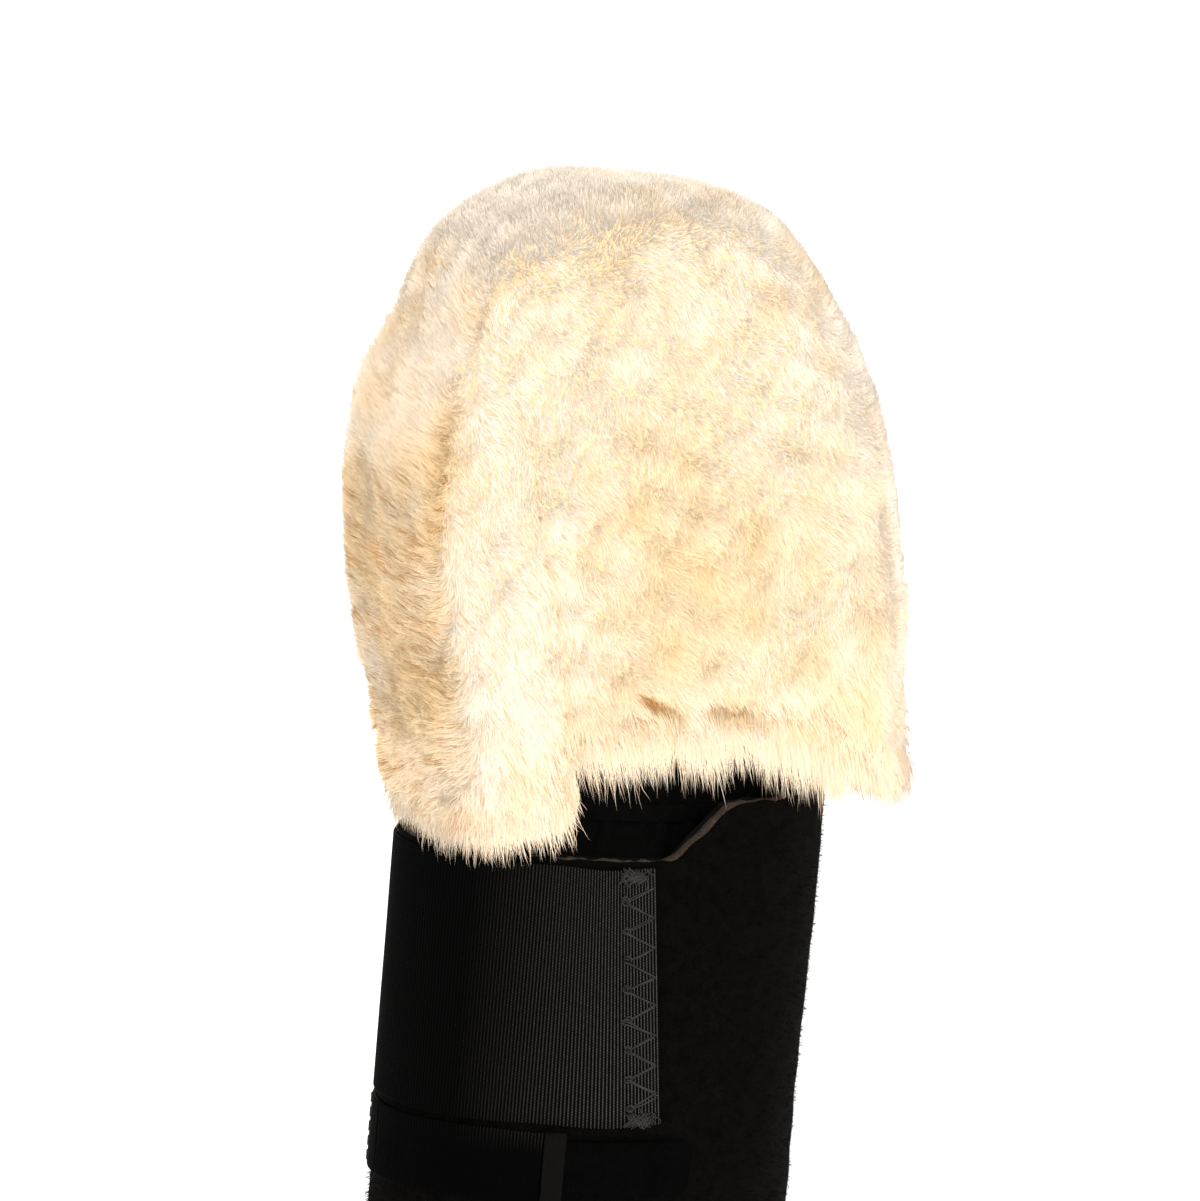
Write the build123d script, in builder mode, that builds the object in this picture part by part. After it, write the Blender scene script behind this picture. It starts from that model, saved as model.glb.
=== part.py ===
from build123d import *

import os
from math import asin, cos, degrees, radians, sin, sqrt, tan

# Sheepskin wash mitt on a long forearm cuff, standing upright on the cuff's open end.
# +Z runs up the cuff, -Y is the front and -X is the side where the closure strap is sewn.
# All sizes are in millimetres.

# ---- driving dimensions: forearm cuff ----
cuff_a = 75.0            # half width of the cuff's outer face, along X
cuff_b = 46.5            # half depth of the cuff's outer face, along Y
face_thickness = 1.0     # brushed loop fabric on the outside
foam_thickness = 4.5     # foam of the laminate
lining_thickness = 1.0   # smooth fabric on the inside
rim_low = 190.0          # height of the rim at the left
rim_high = 209.0         # height of the rim at the right
ramp_start = 2.6         # X where the rim begins to rise
ramp_end = 24.5          # X where the rim has risen
hem_height = 12.0        # height of the hem binding
hem_thickness = 1.2      # thickness of the hem binding's tape
hem_bottom = 1.5         # binding tape under the raw edge of the laminate

# ---- driving dimensions: upper elastic band ----
band_thickness = 1.6
band_top = rim_low - 2.5
band_height = 88.0
band_front_end = 0.4     # X of the sewn end at the front, at the middle of its height
band_front_lean = 6.5    # degrees that this end leans, its lower corner further to the right
band_back_end = -8.0     # X of the sewn end at the back
zigzag_pitch = 10.0
zigzag_width = 11.0
zigzag_margin = 1.3      # from the band's end to the zigzag
thread_radius = 0.4
stitch_inset = 6.0       # from the ends of a seam to its first and last stitch

# ---- driving dimensions: closure strap ----
strap_width = 25.0
strap_thickness = 1.6
strap_gap = 0.2          # air between the strap and the cuff's face
strap_top = rim_low - 92.5
strap_root_y = -1.0      # where the free part of the strap begins, on the left side
strap_anchor_y = 22.0    # where the sewn end of the strap stops, behind the left side
binding_left = -34.5     # X range of the bound end of the elastic
binding_right = -27.5
tab_right = 18.0         # X of the hook tab's rounded end
tab_height = 19.0
tab_radius = 5.0
hook_thickness = 0.9
hook_margin = 2.0
tab_thickness = 1.1      # woven carrier of the hook field
tab_overlap = 10.0       # how far the tab runs under the bound end, as the binding hides it
binding_fold = 0.6       # the binding tape stands this much proud of the strap
anchor_rows = (3.0, 8.0) # the two rows of stitches, from the sewn end of the strap
anchor_stitch_count = 5
anchor_stitch_length = 3.4

# ---- driving dimensions: mitt ----
mitt_half_width = 92.5   # at the widest, with the pile
mitt_half_depth = 46.0   # with the pile
mitt_length = 200.0      # from the bottom of the left lobe to the crown
lower_radius = 800.0     # the sides draw in a little below the widest place
side_radius = 180.0      # the long arc above the widest place
side_angle = 32.0        # degrees that it turns
shoulder_radius = 42.0   # the rounder arc between the side and the crown
shoulder_angle = 46.0    # degrees that it turns
edge_radius = 31.0       # rounding of the pile from the faces to the side
pile_depth = 20.0
hide_thickness = 1.5
mitt_lining_thickness = 1.2
mouth_half_width = 45.5  # half width of the arch cut into the front and the back
mouth_left_height = 24.0 # height of the arch above the left lobe's bottom, at its left end
mouth_right_height = 9.0
mouth_radius = 8.0
right_lobe_drop = 7.0    # the right lobe hangs this much lower than the left one
mitt_x = 12.0            # the middle of the mitt's mouth
mitt_y = -3.0
mitt_z = rim_low + 22.5
mitt_lean = 13.0         # degrees, towards -X

# ---- driving dimensions: wrist gusset ----
gusset_thickness = 1.5
gusset_bottom = rim_low - 30.0   # where it is sewn to the cuff's lining
funnel_top = rim_low + 4.0       # it narrows up to here
collar_top = rim_low + 15.0      # and runs straight up to here, inside the mitt
collar_a = 50.0
collar_b = 20.0
collar_x = 10.0
elastic_height = 6.0
elastic_margin = 1.5     # of collar above the elastic
elastic_thickness = 1.2

# ---- worked out ----
foam_a = cuff_a - face_thickness
foam_b = cuff_b - face_thickness
liner_a = foam_a - foam_thickness
liner_b = foam_b - foam_thickness
inner_a = liner_a - lining_thickness
inner_b = liner_b - lining_thickness
gap_a = cuff_a + strap_gap
gap_b = cuff_b + strap_gap
strap_bottom = strap_top - strap_width
panel_depth = mitt_half_depth - pile_depth
shoulder_end = side_angle + shoulder_angle
side_cos = cos(radians(side_angle))
side_sin = sin(radians(side_angle))
crown_cos = cos(radians(shoulder_end))
crown_sin = sin(radians(shoulder_end))
side_centre = mitt_half_width - side_radius
shoulder_centre = side_centre + (side_radius - shoulder_radius) * side_cos
crown_radius = shoulder_radius + shoulder_centre / crown_cos
mitt_rise = (
    (side_radius - shoulder_radius) * side_sin
    + (shoulder_radius - crown_radius) * crown_sin
    + crown_radius
)
spring_height = mitt_length - mitt_rise
shoulder_height = spring_height + (side_radius - shoulder_radius) * side_sin
crown_height = mitt_length - crown_radius
lower_angle = degrees(asin((spring_height + 2 * right_lobe_drop) / lower_radius))
beyond = 300.0           # larger than anything it cuts

mitt_plane = Plane(
    origin=(mitt_x, mitt_y, mitt_z),
    x_dir=(cos(radians(mitt_lean)), 0, sin(radians(mitt_lean))),
    z_dir=(0, -1, 0),
)
front_view = Plane.XZ    # its normal points to the front, -Y


# ---------------------------------------------------------------- cuff
def elliptic_ring(inner_half_width, inner_half_depth, thickness, bottom, top):
    """A tube of the cuff's oval section between two heights."""
    with BuildSketch(Plane.XY.offset(bottom)) as profile:
        Ellipse(inner_half_width + thickness, inner_half_depth + thickness)
        Ellipse(inner_half_width, inner_half_depth, mode=Mode.SUBTRACT)
    extrude(profile.sketch, amount=top - bottom)


def cut_rim():
    """The rim is low at the left and rises along a ramp to its height at the right."""
    with BuildSketch(front_view) as profile:
        with BuildLine():
            Polyline(
                (-beyond, rim_low),
                (ramp_start, rim_low),
                (ramp_end, rim_high),
                (ramp_end, rim_high + beyond),
                (-beyond, rim_high + beyond),
                close=True,
            )
        make_face()
    extrude(profile.sketch, amount=beyond, both=True, mode=Mode.SUBTRACT)


def keep_in_front_view(left, right, bottom, top, radius=0.0):
    """Keep what lies in front of the middle plane and inside a box seen from the front."""
    with BuildSketch(front_view) as profile:
        with Locations(((left + right) / 2, (bottom + top) / 2)):
            if radius > 0:
                RectangleRounded(right - left, top - bottom, radius)
            else:
                Rectangle(right - left, top - bottom)
    extrude(profile.sketch, amount=beyond, mode=Mode.INTERSECT)


with BuildPart() as cuff_front_foam:
    elliptic_ring(liner_a, liner_b, foam_thickness, hem_bottom, rim_high)
    cut_rim()
    split(bisect_by=front_view, keep=Keep.TOP)

with BuildPart() as cuff_back_foam:
    elliptic_ring(liner_a, liner_b, foam_thickness, hem_bottom, rim_high)
    cut_rim()
    split(bisect_by=front_view, keep=Keep.BOTTOM)

with BuildPart() as cuff_front_face:
    elliptic_ring(foam_a, foam_b, face_thickness, hem_bottom, rim_high)
    cut_rim()
    split(bisect_by=front_view, keep=Keep.TOP)

with BuildPart() as cuff_back_face:
    elliptic_ring(foam_a, foam_b, face_thickness, hem_bottom, rim_high)
    cut_rim()
    split(bisect_by=front_view, keep=Keep.BOTTOM)

with BuildPart() as cuff_lining:
    elliptic_ring(inner_a, inner_b, lining_thickness, hem_bottom, rim_high)
    cut_rim()

# The binding folds round the raw lower edge of the laminate, and the object rests on it.
with BuildPart() as hem_binding:
    wall = face_thickness + foam_thickness + lining_thickness
    elliptic_ring(cuff_a, cuff_b, hem_thickness, 0, hem_height)
    elliptic_ring(inner_a - hem_thickness, inner_b - hem_thickness, hem_thickness, 0, hem_height)
    elliptic_ring(inner_a, inner_b, wall, 0, hem_bottom)


def side_seam(side):
    """Short stitches up one side, over the joint between the front and the back laminate."""
    seam_bottom = hem_height + stitch_inset
    seam_pitch = 12.0
    stitch_length = 4.0
    stitch_sink = 0.5
    height = rim_low if side < 0 else rim_high
    count = int((height - stitch_inset - seam_bottom) / seam_pitch)
    places = [(side * (cuff_a - stitch_sink), 0, seam_bottom + seam_pitch * (i + 0.5)) for i in range(count)]
    with Locations(*places):
        Cylinder(radius=thread_radius, height=stitch_length, rotation=(90, 0, 0))


with BuildPart() as left_side_stitching:
    side_seam(-1)

with BuildPart() as right_side_stitching:
    side_seam(1)


# ---------------------------------------------------------------- upper elastic band
band_bottom = band_top - band_height
band_middle = band_top - band_height / 2
band_face_a = cuff_a + band_thickness
band_face_b = cuff_b + band_thickness


def band_end(height, side):
    """X of the band's sewn end at a height, at the front (side -1) or the back (1)."""
    if side > 0:
        return band_back_end
    return band_front_end + (band_middle - height) * tan(radians(band_front_lean))


with BuildPart() as upper_elastic_band:
    elliptic_ring(cuff_a, cuff_b, band_thickness, band_bottom, band_top)
    for side in (-1, 1):
        with BuildSketch(front_view) as free_area:
            with BuildLine():
                Polyline(
                    (band_end(band_top, side), band_top),
                    (beyond, band_top),
                    (beyond, band_bottom),
                    (band_end(band_bottom, side), band_bottom),
                    close=True,
                )
            make_face()
        extrude(free_area.sketch, amount=-side * beyond, mode=Mode.SUBTRACT)


def on_band(x, z, side):
    """A point on the outer face of the elastic band, at the front (side -1) or the back (1)."""
    return Vector(x, side * band_face_b * sqrt(1 - (x / band_face_a) ** 2), z)


def zigzag(side):
    """A zigzag thread that sews one end of the band to the cuff."""
    turns = int((band_height - zigzag_pitch) / zigzag_pitch * 2)
    low = band_middle - turns * zigzag_pitch / 4
    points = []
    for i in range(turns + 1):
        height = low + i * zigzag_pitch / 2
        near = band_end(height, side) - zigzag_margin
        points.append(on_band(near if i % 2 else near - zigzag_width, height, side))
    for start, end in zip(points, points[1:]):
        leg = end - start
        with BuildSketch(Plane(origin=start, z_dir=leg)) as profile:
            Circle(thread_radius)
        extrude(profile.sketch, amount=leg.length)
    with Locations(*points):
        Sphere(thread_radius)


with BuildPart() as band_front_zigzag:
    zigzag(-1)

with BuildPart() as band_back_zigzag:
    zigzag(1)


def bar_tacks(side):
    """Dense bars of thread across the top and the bottom corner of a sewn end."""
    tack_width = 13.0
    tack_height = 2.4
    inset = 2.6
    for height in (band_top - inset, band_bottom + inset):
        middle = band_end(height, side) - zigzag_margin - tack_width / 2
        centre = on_band(middle, height, side)
        turned = Plane(
            origin=centre,
            x_dir=on_band(middle + 1, height, side) - on_band(middle - 1, height, side),
            z_dir=(0, 0, 1),
        )
        with BuildSketch(turned.offset(-tack_height / 2)) as profile:
            Rectangle(tack_width, 4 * thread_radius)
        extrude(profile.sketch, amount=tack_height)


with BuildPart() as band_front_bar_tacks:
    bar_tacks(-1)

with BuildPart() as band_back_bar_tacks:
    bar_tacks(1)


# ---------------------------------------------------------------- closure strap
with BuildPart() as strap_anchor:
    elliptic_ring(gap_a - strap_gap, gap_b - strap_gap, strap_thickness, strap_bottom, strap_top)
    with BuildSketch(Plane.XY.offset(strap_bottom)):
        with Locations((-beyond / 2, (strap_gap + strap_anchor_y) / 2)):
            Rectangle(beyond, strap_anchor_y - strap_gap)
    extrude(amount=strap_width, mode=Mode.INTERSECT)

with BuildPart() as strap_anchor_stitching:
    anchor_face_a = gap_a + strap_thickness
    anchor_face_b = gap_b + strap_thickness
    stitch_pitch = strap_width / anchor_stitch_count
    for row in anchor_rows:
        row_y = strap_anchor_y - row
        row_x = -(anchor_face_a - strap_gap) * sqrt(1 - (row_y / (anchor_face_b - strap_gap)) ** 2)
        heights = [strap_bottom + stitch_pitch * (i + 0.5) for i in range(anchor_stitch_count)]
        with Locations(*[(row_x, row_y, height) for height in heights]):
            Cylinder(radius=thread_radius, height=anchor_stitch_length)

with BuildPart() as closure_strap:
    elliptic_ring(gap_a, gap_b, strap_thickness, strap_bottom, strap_top)
    with BuildSketch(Plane.XY.offset(strap_bottom)):
        with Locations((binding_left - beyond / 2, strap_root_y - beyond / 2)):
            Rectangle(beyond, beyond)
    extrude(amount=strap_width, mode=Mode.INTERSECT)

with BuildPart() as strap_end_binding:
    elliptic_ring(gap_a, gap_b, strap_thickness + binding_fold, strap_bottom, strap_top)
    keep_in_front_view(binding_left, binding_right, strap_bottom, strap_top)

tab_bottom = strap_top - (strap_width + tab_height) / 2

with BuildPart() as hook_tab:
    elliptic_ring(gap_a + hook_thickness, gap_b + hook_thickness, tab_thickness, strap_bottom, strap_top)
    keep_in_front_view(binding_right - tab_overlap, tab_right, tab_bottom, tab_bottom + tab_height, tab_radius)
    with BuildSketch(front_view):
        with Locations((binding_right - beyond / 2, strap_bottom)):
            Rectangle(beyond, beyond)
    extrude(amount=beyond, mode=Mode.SUBTRACT)

with BuildPart() as hook_field:
    elliptic_ring(gap_a, gap_b, hook_thickness, strap_bottom, strap_top)
    keep_in_front_view(
        binding_right + hook_margin,
        tab_right - hook_margin,
        tab_bottom + hook_margin,
        tab_bottom + tab_height - hook_margin,
        tab_radius - hook_margin,
    )


# ---------------------------------------------------------------- wrist gusset
gusset_a = inner_a - gusset_thickness
gusset_b = inner_b - gusset_thickness

with BuildPart() as wrist_gusset:
    with BuildSketch(Plane.XY.offset(gusset_bottom)):
        Ellipse(inner_a, inner_b)
    with BuildSketch(Plane((collar_x, 0, funnel_top))):
        Ellipse(collar_a, collar_b)
    loft()
    with BuildSketch(Plane((collar_x, 0, funnel_top))):
        Ellipse(collar_a, collar_b)
    extrude(amount=collar_top - funnel_top)
    with BuildSketch(Plane.XY.offset(gusset_bottom)):
        Ellipse(gusset_a, gusset_b)
    with BuildSketch(Plane((collar_x, 0, funnel_top))):
        Ellipse(collar_a - gusset_thickness, collar_b - gusset_thickness)
    loft(mode=Mode.SUBTRACT)
    with BuildSketch(Plane((collar_x, 0, funnel_top))):
        Ellipse(collar_a - gusset_thickness, collar_b - gusset_thickness)
    extrude(amount=collar_top - funnel_top, mode=Mode.SUBTRACT)

with BuildPart() as wrist_elastic:
    with BuildSketch(Plane((collar_x, 0, collar_top - elastic_margin - elastic_height))):
        Ellipse(collar_a + elastic_thickness, collar_b + elastic_thickness)
        Ellipse(collar_a, collar_b, mode=Mode.SUBTRACT)
    extrude(amount=elastic_height)


# ---------------------------------------------------------------- mitt
def dome_edges(inset):
    """The mitt's sides and crown seen from the front, inset from the outside of the pile.

    Each side is a nearly straight arc below the widest place, a long arc above it and a
    rounder shoulder, and one flat arc makes the crown. All of them meet tangentially."""
    for sign in (1, -1):
        arcs = (
            (mitt_half_width - lower_radius, spring_height, lower_radius, -lower_angle, lower_angle),
            (side_centre, spring_height, side_radius, 0, side_angle),
            (shoulder_centre, shoulder_height, shoulder_radius, side_angle, shoulder_angle),
        )
        for x, height, radius, start, turn in arcs:
            if sign > 0:
                CenterArc((x, height), radius - inset, start, turn)
            else:
                CenterArc((-x, height), radius - inset, 180 - start - turn, turn)
    CenterArc((0, crown_height), crown_radius - inset, shoulder_end, 180 - 2 * shoulder_end)


def dome(inset, mode=Mode.ADD):
    """The mitt's whole outline as a face, closed a little below the lower lobe."""
    with BuildLine() as outline:
        dome_edges(inset)
        ends = outline.vertices().sort_by(Axis.Y)[:2]
        Line(ends[0], ends[1])
    make_face(outline.edges(), mode=mode)


def cut_hem(mouth=True):
    """Trim the lobes to their lengths, and cut the arch that lets the wrist bend."""
    left = -mouth_half_width
    right = mouth_half_width
    arch = [(left, mouth_left_height), (right, mouth_right_height)] if mouth else []
    left_hem = [(-beyond, -beyond), (-beyond, 0), (left, 0)]
    right_hem = [(right, -right_lobe_drop), (beyond, -right_lobe_drop), (beyond, -beyond)]
    with BuildSketch(mitt_plane) as profile:
        with BuildLine():
            Polyline(*left_hem, *arch, *right_hem, close=True)
        make_face()
        if mouth:
            corners = profile.vertices().filter_by(lambda vertex: abs(vertex.X) < beyond / 2)
            fillet(corners, mouth_radius)
    extrude(profile.sketch, amount=beyond, both=True, mode=Mode.SUBTRACT)


def keep_layer(near, thickness):
    """Keep only the slice of the mitt between two depths."""
    with BuildSketch(mitt_plane.offset(near)) as profile:
        Rectangle(2 * beyond, 2 * beyond)
    extrude(profile.sketch, amount=thickness, mode=Mode.INTERSECT)


def height_on_mitt(shape):
    """Height of a shape's middle above the bottom of the left lobe."""
    return mitt_plane.to_local_coords(shape.center()).Y


with BuildPart() as pile_envelope:
    with BuildSketch(mitt_plane):
        dome(0)
    extrude(amount=mitt_half_depth, both=True)
    outline_edges = pile_envelope.faces().filter_by(Axis.Y).edges()
    fillet(outline_edges.filter_by(lambda edge: height_on_mitt(edge) > 1 - 2 * right_lobe_drop), edge_radius)

with BuildPart() as pile_front_panel:
    add(pile_envelope.part)
    keep_layer(panel_depth, pile_depth)
    cut_hem()

with BuildPart() as pile_back_panel:
    add(pile_envelope.part)
    keep_layer(-mitt_half_depth, pile_depth)
    cut_hem()

with BuildPart() as pile_side_band:
    add(pile_envelope.part)
    keep_layer(-panel_depth, 2 * panel_depth)
    with BuildSketch(mitt_plane):
        dome(pile_depth)
    extrude(amount=panel_depth, both=True, mode=Mode.SUBTRACT)
    cut_hem(mouth=False)


def flat_panel(inset, near, thickness):
    """A front or back panel of hide or lining with the arch cut out of its lower edge."""
    with BuildSketch(mitt_plane.offset(near)) as profile:
        dome(inset)
    extrude(profile.sketch, amount=thickness)
    cut_hem()


def side_strip(inset, thickness, half_depth):
    """The strip of hide or lining that runs from one lobe over the crown to the other."""
    with BuildSketch(mitt_plane) as profile:
        dome(inset)
        dome(inset + thickness, mode=Mode.SUBTRACT)
    extrude(profile.sketch, amount=half_depth, both=True)
    cut_hem(mouth=False)


hide_depth = panel_depth - hide_thickness
lining_depth = hide_depth - mitt_lining_thickness
lining_inset = pile_depth + hide_thickness

with BuildPart() as hide_front:
    flat_panel(pile_depth, hide_depth, hide_thickness)

with BuildPart() as hide_back:
    flat_panel(pile_depth, -panel_depth, hide_thickness)

with BuildPart() as hide_side_band:
    side_strip(pile_depth, hide_thickness, hide_depth)

with BuildPart() as mitt_lining_front:
    flat_panel(lining_inset, lining_depth, mitt_lining_thickness)

with BuildPart() as mitt_lining_back:
    flat_panel(lining_inset, -hide_depth, mitt_lining_thickness)

with BuildPart() as mitt_lining_side_band:
    side_strip(lining_inset, mitt_lining_thickness, lining_depth)


def seam_stitches(depth):
    """Stitches along the seam between the side band's hide and a face's hide."""
    stitch_pitch = 12.0
    stitch_length = 6.0
    with BuildLine(mitt_plane.offset(depth), mode=Mode.PRIVATE) as seam:
        dome_edges(pile_depth + hide_thickness / 2)
    path = seam.wire()
    count = int(path.length / stitch_pitch)
    places = [path.location_at((i + 0.5) / count) for i in range(count)]
    above_hem = [place for place in places if mitt_plane.to_local_coords(place.position).Y > stitch_length]
    with Locations(*above_hem):
        Cylinder(radius=thread_radius, height=stitch_length)


with BuildPart() as front_seam_stitching:
    seam_stitches(panel_depth - hide_thickness / 2)

with BuildPart() as back_seam_stitching:
    seam_stitches(hide_thickness / 2 - panel_depth)


# ---------------------------------------------------------------- export
pieces = {
    "cuff_front_foam": cuff_front_foam,
    "cuff_back_foam": cuff_back_foam,
    "cuff_front_face": cuff_front_face,
    "cuff_back_face": cuff_back_face,
    "cuff_lining": cuff_lining,
    "hem_binding": hem_binding,
    "left_side_stitching": left_side_stitching,
    "right_side_stitching": right_side_stitching,
    "upper_elastic_band": upper_elastic_band,
    "band_front_zigzag": band_front_zigzag,
    "band_back_zigzag": band_back_zigzag,
    "band_front_bar_tacks": band_front_bar_tacks,
    "band_back_bar_tacks": band_back_bar_tacks,
    "strap_anchor": strap_anchor,
    "strap_anchor_stitching": strap_anchor_stitching,
    "closure_strap": closure_strap,
    "strap_end_binding": strap_end_binding,
    "hook_tab": hook_tab,
    "hook_field": hook_field,
    "wrist_gusset": wrist_gusset,
    "wrist_elastic": wrist_elastic,
    "pile_front_panel": pile_front_panel,
    "pile_back_panel": pile_back_panel,
    "pile_side_band": pile_side_band,
    "hide_front": hide_front,
    "hide_back": hide_back,
    "hide_side_band": hide_side_band,
    "mitt_lining_front": mitt_lining_front,
    "mitt_lining_back": mitt_lining_back,
    "mitt_lining_side_band": mitt_lining_side_band,
    "front_seam_stitching": front_seam_stitching,
    "back_seam_stitching": back_seam_stitching,
}

os.makedirs("parts", exist_ok=True)
for name, piece in pieces.items():
    piece.part.label = name
    export_step(piece.part, f"parts/{name}.step")
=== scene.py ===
import math

import bmesh
import bpy
import numpy as np
from mathutils import Matrix, Vector
from mathutils.bvhtree import BVHTree
from mathutils.kdtree import KDTree


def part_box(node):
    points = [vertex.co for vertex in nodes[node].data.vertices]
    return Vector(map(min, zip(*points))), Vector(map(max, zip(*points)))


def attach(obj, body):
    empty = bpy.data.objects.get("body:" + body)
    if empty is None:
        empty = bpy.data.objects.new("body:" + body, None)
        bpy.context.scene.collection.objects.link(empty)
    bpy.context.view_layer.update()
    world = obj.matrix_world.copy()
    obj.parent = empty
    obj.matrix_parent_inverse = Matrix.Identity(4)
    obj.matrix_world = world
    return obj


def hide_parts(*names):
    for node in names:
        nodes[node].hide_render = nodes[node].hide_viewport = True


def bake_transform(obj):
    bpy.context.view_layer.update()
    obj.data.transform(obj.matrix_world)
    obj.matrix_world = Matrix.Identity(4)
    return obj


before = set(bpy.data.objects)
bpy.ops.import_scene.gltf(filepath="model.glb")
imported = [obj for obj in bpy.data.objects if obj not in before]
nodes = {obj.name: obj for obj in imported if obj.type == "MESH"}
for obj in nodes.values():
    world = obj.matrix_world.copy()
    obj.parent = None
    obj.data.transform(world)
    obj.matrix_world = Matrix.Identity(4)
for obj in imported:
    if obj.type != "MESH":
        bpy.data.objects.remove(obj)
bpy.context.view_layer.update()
MM = 0.001

# ---------------------------------------------------------------- driving values
MITT_LEAN = math.radians(13)
CAMERA_AZIMUTH = math.radians(-25)
CAMERA_ELEVATION = math.radians(12)
CAMERA_ROLL = math.radians(5.1)
CAMERA_DISTANCE = 2.0
CAMERA_LENS = 177.4
AIM_HEIGHT = 0.190       # on the cuff's axis
AIM_RIGHT = -0.0037      # of the picture's centre from there
AIM_UP = 0.0776

RIB_PITCH = 1.15 * MM
RIB_DEPTH = 0.32 * MM
WEFT_PITCH = 0.95 * MM
ZIGZAG_PITCH = 10 * MM
ZIGZAG_WIDTH = 11 * MM
ZIGZAG_MARGIN = 0.9 * MM
TACK_WIDTH = 13 * MM
THREAD_RADIUS = 0.26 * MM
NEEDLE_HOLE = 0.22 * MM  # how deep a stitch is drawn into the cloth
HEM_STITCH_HEIGHT = 7.6  # in millimetres

PILE_SPACING = 0.76 * MM
PILE_LENGTH = 13 * MM
UNDER_DEPTH = 5.5 * MM
HAIR_RADIUS = 0.18 * MM
HAIR_POINTS = 10
HAIR_TRIANGLES = 15
MAX_TRIANGLES = 190000   # of one piece of strands
PARTING_DEPTH = 5.0 * MM
LOOP_FIBRES = 40000      # tried; the covered ones are left out

SLEEVE_RISE = 30 * MM    # of the sleeve's upper end into the mitt
SLEEVE_GAP = 1.5 * MM    # to the mitt's lining, and inside the elastic
SLEEVE_FRAMES = 24
SLEEVE_SHIFT = 2.5 * MM  # the most a point of the sleeve moves as it relaxes


# ---------------------------------------------------------------- helpers
def waves(points, size, seed, count=8):
    """A smooth random field of about -1 to 1, with features of about that size."""
    rng = np.random.default_rng(seed)
    field = np.zeros(len(points))
    for _ in range(count):
        direction = rng.normal(size=3)
        direction /= np.linalg.norm(direction)
        turn = 2 * math.pi / (size * rng.uniform(0.7, 1.5))
        field += np.sin(points @ direction * turn + rng.uniform(0, 2 * math.pi))
    return field / (1.1 * math.sqrt(count / 2))


def unit(vectors):
    return vectors / np.maximum(np.linalg.norm(vectors, axis=-1, keepdims=True), 1e-12)


def smooth_step(low, high, value):
    t = np.clip((value - low) / (high - low), 0, 1)
    return t * t * (3 - 2 * t)


def arc_along(points):
    """The length along a path, at each of its points."""
    return np.concatenate([[0], np.cumsum(np.linalg.norm(np.diff(points, axis=0), axis=1))])


def read_vectors(items, key):
    values = np.zeros(len(items) * 3)
    items.foreach_get(key, values)
    return values.reshape(-1, 3)


def mesh_piece(name, points, faces, material, body, attributes=None):
    """A mesh from an array of points and an array of faces with the same number of corners."""
    faces = np.asarray(faces, np.int32)
    mesh = bpy.data.meshes.new(name)
    mesh.vertices.add(len(points))
    mesh.vertices.foreach_set("co", np.asarray(points, np.float32).ravel())
    mesh.loops.add(faces.size)
    mesh.loops.foreach_set("vertex_index", faces.ravel())
    mesh.polygons.add(len(faces))
    mesh.polygons.foreach_set("loop_start", np.arange(0, faces.size, faces.shape[1], dtype=np.int32))
    mesh.update(calc_edges=True)
    mesh.shade_smooth()
    for key, values in (attributes or {}).items():
        vector = np.ndim(values) == 2
        made = mesh.attributes.new(key, "FLOAT_VECTOR" if vector else "FLOAT", "POINT")
        made.data.foreach_set("vector" if vector else "value", np.asarray(values, np.float32).ravel())
    piece = bpy.data.objects.new(name, mesh)
    bpy.context.scene.collection.objects.link(piece)
    mesh.materials.append(material)
    if body:
        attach(piece, body)
    return piece


def bake_corners(piece, uv):
    """A UV layer named OFBake for baked maps, from one pair of numbers for each point."""
    mesh = piece.data
    corners = np.zeros(len(mesh.loops), np.int32)
    mesh.loops.foreach_get("vertex_index", corners)
    layer = mesh.uv_layers.new(name="OFBake")
    layer.data.foreach_set("uv", np.asarray(uv, np.float32)[corners].ravel())


def loft(name, loops, closed, material, body, weave=None):
    """A closed skin over loops of points, [loop, point, xyz]. An open loft gets an end at each side."""
    count, around = loops.shape[:2]
    i, j = np.meshgrid(np.arange(count if closed else count - 1), np.arange(around), indexing="ij")
    k, m = (i + 1) % count, (j + 1) % around
    quads = np.stack([i * around + j, k * around + j, k * around + m, i * around + m], -1).reshape(-1, 4)
    points = loops.reshape(-1, 3)
    attributes = {"weave": weave.reshape(-1, 3)} if weave is not None else None
    if not closed:
        middle = np.array([loops[0].mean(0), loops[-1].mean(0)])
        first, last = len(points), len(points) + 1
        points = np.vstack([points, middle])
        ring = np.arange(around)
        after = (ring + 1) % around
        base = (count - 1) * around
        start = np.stack([ring, after, np.full(around, first)], -1)
        end = np.stack([base + after, base + ring, np.full(around, last)], -1)
        if attributes:
            ends = np.array([weave[0].mean(0), weave[-1].mean(0)])
            attributes["weave"] = np.vstack([attributes["weave"], ends])
        triangles = np.vstack([quads[:, [0, 1, 2]], quads[:, [0, 2, 3]], start, end])
        return mesh_piece(name, points, triangles, material, body, attributes)
    return mesh_piece(name, points, quads, material, body, attributes)


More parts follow.
